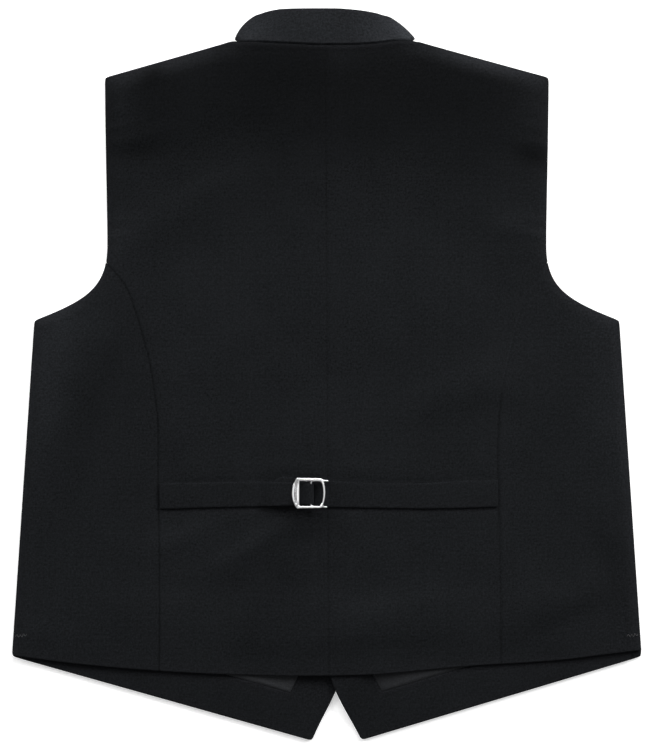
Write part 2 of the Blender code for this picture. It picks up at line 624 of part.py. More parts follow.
def make_straps():
    half = STRAP / 2
    # right strap, on the back all the way, its tail under the left strap
    xs = steps((-49.7, -46.5, 1), (-46.5, -41.0, 2), (-41.0, -2.0, 6), (-2.0, 156.8, 18))
    up = np.tile((0.0, 0.0, 1.0), (len(xs), 1))
    c, n = strap_surface(RIGHT_STRAP, xs, np.full(len(xs), GAP + half), up)
    ribbon("strap_right", c, n, STRAP, WEB)
    # left strap: over the tail, over the bar, round it and back underneath
    low, level, over = GAP + half, 3.3 + half, BAR_UP + BAR_R + GAP + half
    turn = BAR_R + GAP + half
    xs = list(steps((-153.2, -64.0, 12), (-64.0, -46.0, 6), (-46.0, -23.0, 4), (-23.0, BAR_X, 5)))
    zs = [low + (level - low) * float(smooth((x + 64) / 17)) +
          (over - level) * float(smooth((x + 23.5) / 7.5)) for x in xs]
    ns = [(0.0, 0.0, 1.0)] * len(xs)
    for a in (30, 60, 90, 120, 150, 180):
        t = math.radians(a)
        xs.append(BAR_X + turn * math.sin(t))
        zs.append(BAR_UP + turn * math.cos(t))
        ns.append((math.sin(t), 0.0, math.cos(t)))
    for x in (-20.0, -27.0, -34.0, -42.0):
        xs.append(x)
        zs.append(BAR_UP - turn)
        ns.append((0.0, 0.0, -1.0))
    c, n = strap_surface(LEFT_STRAP, np.array(xs), np.array(zs), np.array(ns))
    # the returned end stays as narrow as the window it came through
    k = len(xs) - 11
    c[k:, :, 1] = c[k, :, 1]
    ribbon("strap_left", c, n, STRAP, WEB)


def corner_loop(corners, bulges, cells, cuts):
    """Closed loop round four corners, each side bowed outwards, each corner rounded."""
    loop = []
    for k in range(4):
        a, b = np.array(corners[k]), np.array(corners[(k + 1) % 4])
        after = np.array(corners[(k + 2) % 4]) - b
        start, end = cuts[k], cuts[(k + 1) % 4]
        length = np.linalg.norm(b - a)
        run, after = (b - a) / length, after / np.linalg.norm(after)
        out = np.array([run[1], -run[0]])
        for t in np.linspace(start / length, 1 - end / length, cells[k] + 1):
            loop.append(a + (b - a) * t + out * bulges[k] * 4 * t * (1 - t))
        p0, p2 = loop[-1], b + after * end
        for t in (0.33, 0.67):
            loop.append((1 - t) ** 2 * p0 + 2 * t * (1 - t) * b + t * t * p2)
    return np.array(loop)


def make_buckle():
    # frame: corners from the lower left, the left side bowed out as a crescent
    cells = (6, 8, 6, 10)
    outer = corner_loop([(-27.9, -123.0), (-4.4, -122.7), (-3.9, -94.6), (-27.7, -94.1)],
                        (0.0, 3.0, 0.0, 4.1), cells, (1.0, 1.4, 1.4, 0.9))
    inner = corner_loop([(-25.1, -119.4), (-5.4, -119.4), (-5.2, -98.0), (-24.9, -97.8)],
                        (0.0, 1.9, 0.0, 0.0), cells, (1.0, 2.6, 2.6, 1.0))
    section = [(-1.0, -0.45), (-0.72, -1.0), (0.72, -1.0), (1.0, -0.45), (1.0, 0.3),
               (0.6, 1.0), (-0.6, 1.0), (-1.0, 0.3)]
    points, faces, n, sides = [], [], len(outer), len(section)
    for o, i in zip(outer, inner):
        middle, half = (o + i) / 2, (o - i) / 2
        lean = float(back_top(middle[0], BUCKLE_Y))
        for a, b in section:
            p = middle + half * a
            points.append((p[0], p[1], lean + FRAME_UP + FRAME_THICK / 2 * (1 + b)))
    for i in range(n):
        for k in range(sides):
            a, b = i * sides + k, i * sides + (k + 1) % sides
            c, d = (i + 1) % n * sides + (k + 1) % sides, (i + 1) % n * sides + k
            faces.append((a, b, c, d))
    add_object("buckle_frame", points, faces, STEEL)
    # bar and prongs: one bent rod, tips sloping down to the right strap
    low_y, high_y = -120.6, -97.0
    plan = ([(0.9, -120.9), (0.2, -120.9), (-1.6, -120.8), (-4.0, -120.7), (-11.0, low_y)]
            + [(BAR_X + 1.8 - 1.8 * math.sin(t), low_y + 1.8 - 1.8 * math.cos(t))
               for t in np.linspace(0, math.pi / 2, 5)]
            + [(BAR_X, BUCKLE_Y - 4), (BAR_X, BUCKLE_Y + 4)]
            + [(BAR_X + 1.8 - 1.8 * math.cos(t), high_y - 1.8 + 1.8 * math.sin(t))
               for t in np.linspace(0, math.pi / 2, 5)]
            + [(-11.0, high_y), (-4.0, -96.9), (-1.0, -97.0), (1.0, -97.1), (1.9, -97.15)])
    path = []
    for k, (x, y) in enumerate(plan):
        dip = 1.1 * float(smooth((x + 1.5) / 3.0))
        path.append((x, y, float(back_top(x, BUCKLE_Y)) + BAR_UP - dip))
    radius = lambda p: BAR_R * (1.0 if p[0] < 0.1 else 0.75 if p[0] < 1.2 else 0.5)
    tube("buckle_prongs", path, radius, STEEL)


def main():
    for obj in list(bpy.data.objects):
        bpy.data.objects.remove(obj, do_unlink=True)
    make_front("left")
    make_front("right")
    make_back(-1, "left")
    make_back(1, "right")
    make_collar()
    make_straps()
    make_buckle()


main()
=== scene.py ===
import math

import bmesh
import bpy
import numpy as np
from bpy.props import FloatProperty, FloatVectorProperty, PointerProperty
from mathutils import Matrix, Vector


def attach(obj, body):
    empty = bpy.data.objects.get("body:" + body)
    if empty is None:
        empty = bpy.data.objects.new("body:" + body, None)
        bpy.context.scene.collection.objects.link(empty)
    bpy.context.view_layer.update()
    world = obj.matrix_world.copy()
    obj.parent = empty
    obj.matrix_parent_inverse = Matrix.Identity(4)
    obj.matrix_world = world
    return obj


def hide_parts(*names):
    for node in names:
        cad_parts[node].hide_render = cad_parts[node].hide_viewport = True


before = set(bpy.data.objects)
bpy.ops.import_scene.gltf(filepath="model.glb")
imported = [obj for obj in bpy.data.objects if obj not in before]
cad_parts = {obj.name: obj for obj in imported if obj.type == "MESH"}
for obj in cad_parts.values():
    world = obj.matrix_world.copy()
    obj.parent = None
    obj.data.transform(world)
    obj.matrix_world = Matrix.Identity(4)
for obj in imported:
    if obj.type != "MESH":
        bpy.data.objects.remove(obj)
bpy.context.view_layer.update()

bl_info = {
    "name": "Clergy vest",
    "version": (1, 0, 0),
    "blender": (4, 5, 0),
    "location": "3D View > Sidebar > Vest",
    "description": "A clergy vest laid face down: wool back and fronts, satin lining, "
                   "band collar, cinch belt and buckle",
    "category": "Object",
}

MM = 0.001

# ------------------------------------------------------------------ pattern pieces
# All plan sizes and heights below are in millimetres, in the frame of the solids.

CLOTH, LINING, BAND, STRAP, GAP = 1.5, 1, 2.5, 1.2, 0.3
INNER = CLOTH + GAP
LAP = INNER + LINING + GAP
REST, EDGE = 4.4, INNER
RISE, RISE_REACH = 7, 115             # the back is lifted towards the collar and shoulders
ROLL_SIDE, ROLL_SHOULDER = 10, 17     # width over which the back turns down to a seam

SIDE_TOP, SIDE_HEM = (268.5, 49.8), (289, -257.5)
SHOULDER_TIP = (203.7, 272.8)
NECK_LEFT, NECK_RIGHT = (-85.5, 306.5), (81.4, 306.3)
ARMHOLE_FOOT = (201.5, 118)
PRINCESS_TOP = 103
CENTER_TOP, CENTER_HEM = -0.5, 2.8
FACING_WIDTH, SEWN_IN = 37, 10
FRONT_HEM_END, FRONT_NECK, CLOSURE = (289, -258.5), 221.5, 8
COLLAR_HEIGHT = 30

# Back hem and back neck: x, y
HEM = np.array([(-289, -257.3), (-238, -264.1), (-155, -271.6), (-30, -276.1),
                (40, -274.9), (137, -266.8), (213, -261.8), (274, -254.2),
                (289, -252.6)])
NECK = np.array([(-85.5, 305.9), (-66, 304.9), (-34, 303.1), (-8, 301.8),
                 (11, 301.8), (30, 302.3), (50, 304.1), (66, 306.3), (81.4, 306.2)])
# Princess seams: y, x on the left, x on the right
PRINCESS = np.array([(-276, -153.6, 160.2), (-161.7, -153.6, 159.2), (-97.3, -154.6, 157.3),
                     (-32.9, -155.8, 158.9), (3.9, -161, 163.8), (31.5, -167.4, 170.2),
                     (59.1, -175.7, 177.9), (84, -186.2, 187.6), (103, -202.6, 202.6)])
FRONTS = {
    "left": dict(sign=-1, edge=((18, -240), (18, -285.8), (0, -301.7), (-13.6, -336))),
    "right": dict(sign=1, edge=((-2, -240), (-2, -283.3), (14.5, -300.6), (31.8, -335.4))),
}
# Broad folds that the solids have: x, y, angle, length, width, height
FOLDS = [
    (-256, -60, 85, 300, 26, 1.6),   # along the left side
    (-210, -14, 66, 230, 20, -1),
    (256, -40, 94, 240, 24, 1.4),   # along the right side
    (256, -176, 100, 120, 20, -0.8),
    (-172, 204, 14, 80, 18, -1),   # pulls from the armholes
    (-128, 148, 27, 150, 24, 1.5),
    (186, 198, -10, 66, 16, -1),
    (176, 130, -24, 90, 20, 1.1),
    (-60, 70, 62, 180, 34, 0.8),   # middle of the back
    (96, 60, 108, 180, 32, 0.8),
    (140, -12, 8, 120, 22, 1.3),
    (-134, -152, 14, 90, 15, 1.4),   # below the belt
    (-62, -152, 34, 80, 13, 1.2),
    (-20, -188, 30, 100, 18, -0.8),
    (66, -226, 4, 190, 20, 1.6),
    (206, -208, 22, 120, 20, 1.3),
    (-150, -222, -3, 150, 22, 1),
]
# The belt's middle, half its length, and how far around it the broad folds are held down
BELT_Y, BELT_HALF, BELT_CALM = -109.5, 158, 30
# How far the back sinks onto the fronts at its hem: x, drop
HEM_DROP = np.array([(-289, 0.9), (-250, 0.2), (-110, 0.2), (-70, 1.2), (110, 1.2),
                     (200, 0.9), (235, 0.2), (289, 0.7)])
# Smaller creases laid over them: x, y, angle, length, width, height and, if any, bow
CREASES = [
    (-182, 203, 8, 60, 8, -0.8),   # pulls from the armholes
    (-176, 217, 12, 52, 7, 0.5, 2),
    (-172, 186, 20, 60, 9, 0.5, -3),
    (-136, 158, 30, 110, 10, 0.5, -3),
    (190, 198, -8, 44, 8, -0.8),
    (186, 214, -12, 46, 7, 0.4, -2),
    (170, 136, 4, 50, 8, 0.5, 2),
    (166, 119, 0, 30, 7, -0.4),
    (-223, -41, 70, 232, 13, -1.1, -11),   # along the left side
    (-266, -236, -6, 80, 10, 0.6, 2),
    (141, 3, 24, 90, 14, 0.5, 3),   # right of the middle
    (150, -30, 8, 84, 10, -0.5, -3),
    (84, -52, -4, 90, 12, -0.4, 2),
    (196, -60, -24, 54, 12, -0.4, 2),
    (256, -178, 100, 90, 13, -0.6, 3),
    (-6, 188, 10, 34, 7, -0.4, 2),   # middle of the back
    (-24, 158, 0, 30, 7, -0.35, -2),
    (-112, 30, 58, 130, 17, 0.5, 6),
    (-48, -84, 3, 60, 5, 0.35, 1),   # beside the belt
    (26, -86, -2, 74, 5, 0.3, -1),
    (-126, -146, 30, 66, 8, 0.7, -3),   # below the belt
    (-61, -153, 36, 66, 7, 0.7, 2),
    (-93, -160, 34, 62, 7, -0.6, 2),
    (-18, -151, 20, 56, 9, -0.5, 2),
    (-14, -178, 34, 76, 9, 0.4, -2),
    (-120, -196, 4, 110, 12, -0.5, 3),
    (72, -247, 2, 120, 8, -0.5, 2),
    (104, -205, 5, 110, 9, 0.5, -2),
    (222, -225, 24, 92, 9, -0.6, -2),
]
# Short pulls of the armhole seams: y, height, on the left and right edge alike
PULLS = ((234, -0.3), (227, 0.3), (218, -0.35), (142, 0.3), (134.5, -0.35), (127, 0.3))
# Painted shade (below zero) and painted light (above zero) in the cloth's colour, where folds and slopes
# are shaded or lit: x, y, angle, length, width, amount, bow
PAINTED_SHADING = [
    (0, 266, 0, 760, 66, -1.3),   # towards the collar
    (-62, 288, 0, 90, 22, -0.25),
    (92, 284, -6, 110, 22, -0.1),
    (12, 292, 90, 40, 14, 0.35),
    (-144, 286, 16, 135, 9, 0.75),   # along the shoulders
    (142, 287.5, -15, 135, 8, 1.5),
    (-160, 277, 30, 28, 9, -1),
    (-190, 254, 90, 60, 16, 0.6),
    (192, 252, 90, 60, 14, 0.6),
    (0, 170, 0, 560, 40, -0.2),   # middle
    (0, 90, 0, 560, 50, 0.1),
    (0, -40, 0, 420, 26, 0.15),
    (0, -190, 0, 620, 40, 0.22),
    (-120, -160, 10, 90, 14, 0.3),
    (-172, 203, 10, 72, 12, -0.6),   # armholes
    (190, 197, -8, 44, 12, -0.75),
    (-197, 120, 75, 64, 14, 0.6),
    (197, 122, 105, 64, 14, 0.2),
    (-124, 164, 33, 130, 14, 0.3),
    (-146, 132, 30, 110, 12, -0.25),
    (168, 138, 4, 50, 12, 0.25),
    (-236, 44, 20, 70, 22, 0.6),   # sides
    (236, 44, -20, 70, 22, 0.35),
    (-256, -30, 84, 120, 16, 0.35),
    (252, -56, 95, 120, 22, 0.45),
    (-254, 16, 82, 110, 20, 0.5),
    (262, 4, 95, 120, 18, 0.45),
    (-276, -80, 86, 260, 13, 0.35),
    (277, -50, 94, 200, 13, 0.35),
    (-220, -41, 70, 232, 20, -0.4, -11),
    (260, -176, 100, 110, 16, -0.3),
    (146, -32, 6, 120, 14, -0.35),   # right of the middle
    (84, -52, -4, 100, 16, -0.25),
    (140, 4, 24, 100, 14, 0.2),
    (-140, -146, 20, 60, 10, 0.3),   # below the belt
    (-62, -150, 36, 60, 8, 0.2),
    (-20, -146, 10, 62, 12, -0.35),
    (-60, -186, 3, 240, 18, -0.3),
    (60, -208, 4, 140, 10, 0.2),
    (74, -248, 2, 120, 9, -0.3),
    (214, -222, 24, 112, 12, -0.4),
    (-262, -244, 0, 76, 16, 0.25),
]
# Painted highlights on the collar's two ends: x, y, angle, length, width, amount
COLLAR_PAINTED_HIGHLIGHTS = [(-75, 318, 90, 90, 20, 1.9), (60, 318, 90, 90, 22, 2.2), (77, 314, 125, 60, 10, 3.6)]

# Outer corners of the garment, a little rounded: x, y, direction inwards, how far
CORNERS = np.array([(-203.7, 272.8, -41, 0.9), (203.7, 272.8, 221, 0.9),
                    (-268.5, 49.8, -36, 0.8), (268.5, 49.8, 216, 0.8),
                    (-289, -258, 40, 1.1), (289, -258, 140, 1.1),
                    (-13.6, -336, 116, 1.2), (31.8, -335.4, 66, 1.2)])

# Belt: x, upper edge y, lower edge y
LEFT_STRAP = np.array([(-153.2, -99.5, -123), (-107, -99.1, -121.5), (-56, -98, -120.3),
                       (-43, -98.3, -119.9), (-30, -98.6, -119.6), (-23, -99.5, -118.5),
                       (-5, -99.5, -118.5)])
RIGHT_STRAP = np.array([(-49.7, -99.6, -115.5), (-46.5, -95.8, -118.2), (-41, -93.4, -119.5),
                        (-34, -94.2, -119.8), (-2, -97.2, -120.9), (44, -99.5, -121.8),
                        (90, -99.5, -122.6), (127, -97.3, -121.9), (156.8, -96.7, -120.8)])
# Buckle heights above the back's surface
BAR_X, BAR_R, BAR_UP = -14.4, 0.8, 4.1
FRAME_UP, FRAME_THICK, BUCKLE_Y = 5.2, 1.8, -109
# Bar tacks at the side seams: side, x, y, width
TACKS = [("left", -280.4, -239.2, 10.6), ("right", 280.4, -239, 10.4)]
# Soft folds of the fronts, seen from inside: x, y, angle, length, width, height, bow
FRONT_FOLDS = [
    (-150, -276, -12, 90, 12, 0.35, 3),
    (-60, -300, -18, 70, 10, 0.3, 2),
    (120, -290, 14, 90, 12, 0.35, -3),
    (214, -268, 16, 70, 10, 0.3, -2),
    (-180, -120, 80, 200, 26, 0.4, 6),
    (170, -60, 96, 220, 26, 0.4, -6),
]


# ---------------------------------------------------------------------- plan curves

def bezier(p0, p1, p2, p3, n=60):
    t = np.linspace(0.0, 1.0, n + 1)[:, None]
    p0, p1, p2, p3 = (np.array(p, float) for p in (p0, p1, p2, p3))
    return (1 - t) ** 3 * p0 + 3 * (1 - t) ** 2 * t * p1 + 3 * (1 - t) * t * t * p2 + t ** 3 * p3


def smooth(t):
    t = np.clip(t, 0.0, 1.0)
    return t * t * (3 - 2 * t)


def steps(start, *runs):
    """Stations along a line: its start, then the cells and the end of each run."""
    out = [start]
    for cells, end in zip(runs[::2], runs[1::2]):
        out += list(np.linspace(out[-1], end, cells + 1)[1:])
    return np.array(out, float)


def sided(points, sign):
    """Points of the right side, mirrored for the left one."""
    return np.array(points) * (sign, 1)


def hill(d, width):
    """A smooth hump of height one about d = 0."""
    return np.exp(-(d / width) ** 2)


def graded(length, cell, near=(0.35, 0.75, 1.25, 1.9, 2.8, 4.2)):
    """Stations over a length, close together at both ends where the cloth turns down."""
    near = np.array(near)
    count = max(2, int(round((length - 2 * near[-1]) / cell)))
    middle = np.linspace(near[-1], length - near[-1], count + 1)
    return np.r_[0.0, near[:-1], middle, length - near[:-1][::-1], length] / length


def through(table, n=8):
    """A smooth curve through the rows of a table, whose first column only rises."""
    t, v = table[:, 0], table[:, 1:]
    slope = np.gradient(v, t, axis=0)
    out = []
    for k in range(len(t) - 1):
        h = t[k + 1] - t[k]
        for w in np.arange(n) / n:
            a, b = 2 * w ** 3 - 3 * w ** 2 + 1, w ** 3 - 2 * w ** 2 + w
            c, d = -2 * w ** 3 + 3 * w ** 2, w ** 3 - w ** 2
            out.append(np.r_[t[k] + w * h, a * v[k] + b * h * slope[k] + c * v[k + 1]
                             + d * h * slope[k + 1]])
    out.append(table[-1])
    return np.array(out)


def along(curve, axis, values):
    """Points of a curve at the given x (axis 0) or y (axis 1) values."""
    curve = curve[np.argsort(curve[:, axis], kind="stable")]
    other = np.interp(values, curve[:, axis], curve[:, 1 - axis])
    pair = (values, other) if axis == 0 else (other, values)
    return np.stack(pair, -1)


def away(x, y, curve):
    """Plan distance from points to a curve."""
    best = np.full(np.shape(x), 1e9)
    for a, b in zip(curve[:-1], curve[1:]):
        ab = b - a
        t = np.clip(((x - a[0]) * ab[0] + (y - a[1]) * ab[1]) / (ab @ ab + 1e-12), 0.0, 1.0)
        best = np.minimum(best, (x - a[0] - t * ab[0]) ** 2 + (y - a[1] - t * ab[1]) ** 2)
    return np.sqrt(best)


def shifted(curve, d):
    """The curve moved d to the left of its direction of travel."""
    run = np.gradient(curve, axis=0)
    run /= np.linalg.norm(run, axis=1)[:, None]
    return curve + d * np.stack([-run[:, 1], run[:, 0]], -1)


def run_along(points):
    """Distance along a path to each of its points."""
    return np.cumsum(np.r_[0, np.linalg.norm(np.diff(points, axis=0), axis=1)])


def spaced(curve, count):
    """The curve as evenly spaced points."""
    run = run_along(curve)
    at = np.linspace(0, run[-1], count + 1)
    return np.stack([np.interp(at, run, values) for values in curve.T], -1)


def curved(points, count):
    """A path through points, rounded, as evenly spaced stations."""
    points = np.asarray(points, float)
    return spaced(through(np.c_[run_along(points), points], 6)[:, 1:], count)


def crossing(a, b):
    """Where two plan curves cross."""
    for p, q in zip(a[:-1], a[1:]):
        for u, v in zip(b[:-1], b[1:]):
            d, e = q - p, v - u
            det = d[0] * e[1] - d[1] * e[0]
            if abs(det) < 1e-9:
                continue
            t = ((u - p)[0] * e[1] - (u - p)[1] * e[0]) / det
            w = ((u - p)[0] * d[1] - (u - p)[1] * d[0]) / det
            if -1e-6 <= t <= 1 + 1e-6 and -1e-6 <= w <= 1 + 1e-6:
                return p + t * d
    raise ValueError("the curves do not cross")


def trimmed(curves):
    """Neighbouring curves, each run on past its ends, cut where they cross."""
    grown = []
    for c in curves:
        head, tail = c[0] - c[1], c[-1] - c[-2]
        grown.append(np.vstack([[c[0] + 25 * head / np.linalg.norm(head)], c,
                                [c[-1] + 25 * tail / np.linalg.norm(tail)]]))
    corners = [crossing(a, b) for a, b in zip(grown[:-1], grown[1:])]
    out = []
    for k, c in enumerate(curves):
        run = c[-1] - c[0]
        keep = c
        if k > 0:
            keep = keep[(keep - corners[k - 1]) @ run > 0.5 * np.linalg.norm(run) / len(c)]
            keep = np.vstack([[corners[k - 1]], keep])
        if k < len(corners):
            keep = keep[(corners[k] - keep) @ run > 0.5 * np.linalg.norm(run) / len(c)]
            keep = np.vstack([keep, [corners[k]]])
        out.append(keep)
    return out


def coons(bottom, top, left, right):
    """Plan grid [column, row] between four sides that share their corners."""
    def share(a, b):
        a, b = run_along(a), run_along(b)
        return (a / a[-1] + b / b[-1]) / 2
    u, v = share(bottom, top)[:, None, None], share(left, right)[None, :, None]
    b, t, l, r = bottom[:, None], top[:, None], left[None], right[None]
    corners = ((1 - u) * (1 - v) * bottom[0] + u * (1 - v) * bottom[-1]
               + (1 - u) * v * top[0] + u * v * top[-1])
    return (1 - v) * b + v * t + (1 - u) * l + u * r - corners


HEM, NECK = through(HEM), through(NECK)


def eased(plan):
    """The plan grid with the garment's outer corners rounded."""
    plan = plan.copy()
    for x, y, angle, move in CORNERS:
        d = np.hypot(plan[..., 0] - x, plan[..., 1] - y)
        pull = move * np.clip(1 - d / 5.0, 0, 1) ** 2
        plan[..., 0] += pull * math.cos(math.radians(angle))
        plan[..., 1] += pull * math.sin(math.radians(angle))
    return plan


def armhole(sign, inset=0.0):
    """Armhole from the side seam's top to the shoulder tip."""
    low = bezier(SIDE_TOP, (224.2, 67.4), (201.5, 78.0), ARMHOLE_FOOT)
    high = bezier(ARMHOLE_FOOT, (201.2, 140.0), (203.2, 200.0), SHOULDER_TIP)
    curve = np.vstack([low, high[1:]])
    curve[:, 0] -= inset * smooth((curve[:, 1] - 56) / 30) * smooth((270 - curve[:, 1]) / 30)
    return curve * (sign, 1)


def neck_point(sign):
    return np.array(NECK_LEFT if sign < 0 else NECK_RIGHT)


def princess(sign):
    return through(PRINCESS)[:, [1 if sign < 0 else 2, 0]]


def side_seam(sign):
    return sided([SIDE_HEM, SIDE_TOP], sign)


def center_x(y):
    return np.interp(y, (-276.0, 303.4), (CENTER_HEM, CENTER_TOP))


SEWN = {s: np.vstack([sided([(SIDE_HEM[0], SIDE_HEM[1] - 20)], s), side_seam(s),
                      armhole(s)[1::3], armhole(s)[-1:]]) for s in (-1, 1)}
SHOULDER_SEAM = {s: np.array([armhole(s)[-1], neck_point(s)]) for s in (-1, 1)}
CENTER = np.array([(center_x(y), y) for y in (-290, 310)])
SHOULDERS = np.vstack([[(-SHOULDER_TIP[0], SHOULDER_TIP[1])], NECK[::4], [SHOULDER_TIP]])


# ------------------------------------------------------------------ height of cloth

def lap(x, y):
    """Rise of the right front where it climbs over the left front's edge."""
    edge = np.vstack([bezier(*FRONTS["left"]["edge"]), [(18.0, 400.0)]])
    edge = edge[np.argsort(edge[:, 1])]
    d = x - np.interp(y, edge[:, 1], edge[:, 0])
    return LAP * (1 - smooth((d - 10) / 24))


def soft(x, y, rows):
    """Sum of soft troughs and ridges, each bowed along its run if its row has a bow."""
    z = np.zeros_like(x)
    for fx, fy, angle, length, width, height, *bow in rows:
        c, s = math.cos(math.radians(angle)), math.sin(math.radians(angle))
        a, b = (x - fx) * c + (y - fy) * s, -(x - fx) * s + (y - fy) * c
        b = b - sum(bow) * (2 * a / length) ** 2
        z += height * np.exp(-(a / (0.45 * length)) ** 2 - (b / width) ** 2)
    return z


def round_over(d, reach):
    """Share of the full height at a distance from a sewn edge, steepest at the edge."""
    return 1 - (1 - np.clip(d / reach, 0, 1)) ** 2


def back_under(x, y):
    """Underside of the back's panels, as in the solids."""
    x, y = np.asarray(x, float), np.asarray(y, float)
    sides = np.minimum(away(x, y, SEWN[-1]), away(x, y, SEWN[1]))
    seams = np.minimum(away(x, y, SHOULDER_SEAM[-1]), away(x, y, SHOULDER_SEAM[1]))
    near_neck = np.minimum(np.hypot(x - NECK_LEFT[0], y - NECK_LEFT[1]),
                           np.hypot(x - NECK_RIGHT[0], y - NECK_RIGHT[1]))
    # the fronts' overlap lifts the middle, the collar and the shoulders lift the top
    ridge = smooth((x + 76) / 68) * smooth((94 - x) / 68) * smooth((272 - y) / 46)
    rise = RISE * (1 - smooth(away(x, y, SHOULDERS) / RISE_REACH))
    rise *= (0.4 + 0.6 * smooth(near_neck / 80)) * (0.35 + 0.65 * smooth(sides / 60))
    # broad folds, held down by the belt, and the hem sinking onto the fronts
    broad = soft(x, y, FOLDS) * (1 - hill(y - BELT_Y, BELT_CALM))
    drop = np.interp(x, HEM_DROP[:, 0], HEM_DROP[:, 1]) * smooth((-240 - y) / 24)
    full = REST + LAP * ridge + rise + np.maximum(broad - drop, -1.2)
    edge = EDGE + 1.6 * (1 - smooth(near_neck / 40)) + 0.9 * smooth((-236 - y) / 20)
    return edge + (full - edge) * round_over(sides, ROLL_SIDE) * round_over(seams, ROLL_SHOULDER)


def back_top(x, y):
    return back_under(x, y) + CLOTH


def ditch(d, depth, width):
    """A sewn seam: both sides of the cloth turn down into it."""
    return -depth * hill(d, width)


def loose_neck(x):
    """Where the collar stands clear of the back: along the middle, not at its two ends."""
    return smooth((x + 76) / 24) * smooth((74 - x) / 24)


def turned(d, reach, depth):
    """How far a cloth edge turns down at a distance from it, by depth at the edge."""
    return depth * (1 - np.sqrt(1 - 0.98 * np.clip(1 - d / reach, 0, 1) ** 2))


def rounded(d, radius=0.9):
    """Height lost where a cloth edge is rounded over its last millimetre."""
    return -turned(d, radius, 0.55 * radius)


def pucker(s, d, reach, size):
    """Small uneven waves beside a line of stitches, s along it and d away from it."""
    wave = (np.sin(s / 1.9 + 2.3 * np.sin(s / 23.0)) + 0.6 * np.sin(s / 3.1 + 1.7 * np.sin(s / 41.0))
            + 0.5 * np.sin(s / 7.3))
    return size * wave * hill(d, reach) * (1 - hill(d, 0.9))


def back_finish(x, y, cloth):
    """What the sewn and laid cloth adds to the back's plain upper surface."""
    calm = 1 - 0.85 * hill(y - BELT_Y, 14.0) * (np.abs(x) < BELT_HALF)
    pulls = [(s * 193, at, -s * 8, 30, 3.2, size) for s in (-1, 1) for at, size in PULLS]
    z = cloth.crease * (soft(x, y, CREASES) + soft(x, y, pulls)) * calm
    # neck seam: its ditch, and the ridge of the allowances below it
    d = away(x, y, NECK)
    z += ditch(d, (0.5 + 0.9 * loose_neck(x)) * cloth.seam_depth / MM, 1.0)
    z += (0.6 - 0.2 * loose_neck(x)) * hill(d - 3.0, 2.3)
    z += pucker(x, d, 8.0, 0.05)
    # centre and princess seams: pressed to one side
    d = away(x, y, CENTER)
    z += ditch(d, 0.15 * cloth.seam_depth / MM, cloth.seam_width / MM) + pucker(y, d, 7.0, 0.02)
    z += 0.05 * smooth((np.where(x < center_x(y), 10.5, -1.0) - d) / 4.0)
    for sign in (-1, 1):
        seam = princess(sign)
        d = away(x, y, seam)
        z += ditch(d, 0.45 * cloth.seam_depth / MM, cloth.seam_width / MM) + pucker(y, d, 8.0, 0.04)
        inner = sign * (np.interp(y, seam[:, 1], seam[:, 0]) - x) > 0
        z += 0.1 * smooth((np.where(inner, 10.0, -1.0) - d) / 4.0)
        # outer edges: rolled over the seam, a little uneven
        d = away(x, y, armhole(sign))
        z += rounded(d) + pucker(y + 0.4 * x, d, 12.0, 0.07)
        d = away(x, y, side_seam(sign))
        z += rounded(d) + pucker(y, d, 9.0, 0.05)
        d = away(x, y, np.array([neck_point(sign), sided(SHOULDER_TIP, sign)]))
        z += rounded(d)
    # the belt presses the cloth in along its edges
    for table in (LEFT_STRAP, RIGHT_STRAP):
        on = smooth((x - table[0, 0] + 3) / 6) * smooth((table[-1, 0] + 3 - x) / 6)
        above = y - np.interp(x, table[:, 0], table[:, 1])
        below = np.interp(x, table[:, 0], table[:, 2]) - y
        z -= on * (0.22 * hill(above - 1.5, 4.0) + 0.45 * hill(above - 0.6, 1.3)
                   + 0.3 * hill(below - 1.0, 4.0))
    d = away(x, y, HEM)
    return z + rounded(d) + 0.12 * np.sin(x / 17.0 + 1.3 * np.sin(x / 51.0)) * hill(d, 9.0)


# -------------------------------------------------------------------- making cloth

def grid_mesh(name, under, over, uv, keep=None):
    """A grid laid out as the cloth's underside, then extruded to its upper side."""
    nu, nv = under.shape[0] - 1, under.shape[1] - 1
    bm = bmesh.new()
    bmesh.ops.create_grid(bm, x_segments=nu, y_segments=nv, size=0.5)
    cell = bm.verts.layers.int.new("cell")
    low, high, flat = (g.reshape(-1, g.shape[-1]) for g in (under * MM, over * MM, uv * MM))
    for v in bm.verts:
        v[cell] = int(round((v.co.x + 0.5) * nu)) * (nv + 1) + int(round((v.co.y + 0.5) * nv))
        v.co = low[v[cell]]
    if keep is not None:
        gone = []
        for f in bm.faces:
            k = min(v[cell] for v in f.verts)
            if not keep[k // (nv + 1), k % (nv + 1)]:
                gone.append(f)
        bmesh.ops.delete(bm, geom=gone, context="FACES")
    raised = bmesh.ops.extrude_face_region(bm, geom=bm.faces[:])
    for v in (g for g in raised["geom"] if isinstance(g, bmesh.types.BMVert)):
        v.co = high[v[cell]]
    if bm.calc_volume(signed=True) < 0:
        bmesh.ops.reverse_faces(bm, faces=bm.faces[:])
    layer = bm.loops.layers.uv.new("cloth")
    for f in bm.faces:
        for loop in f.loops:
            loop[layer].uv = flat[loop.vert[cell]]
    bm.verts.layers.int.remove(cell)
    return finished(bm, name)


def finished(bm, name, angle=35.0):
    """The piece's object at the origin, with its mesh smooth but for its sharp rims."""
    mesh = bpy.data.meshes.new(name)
    bm.to_mesh(mesh)
    bm.free()
    mesh.shade_smooth()
    mesh.set_sharp_from_angle(angle=math.radians(angle))
    piece = bpy.data.objects.new(name, mesh)
    bpy.context.scene.collection.objects.link(piece)
    return piece


def flat_area(plan, keep=None):
    """Area of the cut in square metres, from its plan grid."""
    a, b = plan[1:, 1:] - plan[:-1, :-1], plan[:-1, 1:] - plan[1:, :-1]
    cells = np.abs(a[..., 0] * b[..., 1] - a[..., 1] * b[..., 0]) / 2
    return float((cells if keep is None else cells * keep).sum()) * MM * MM


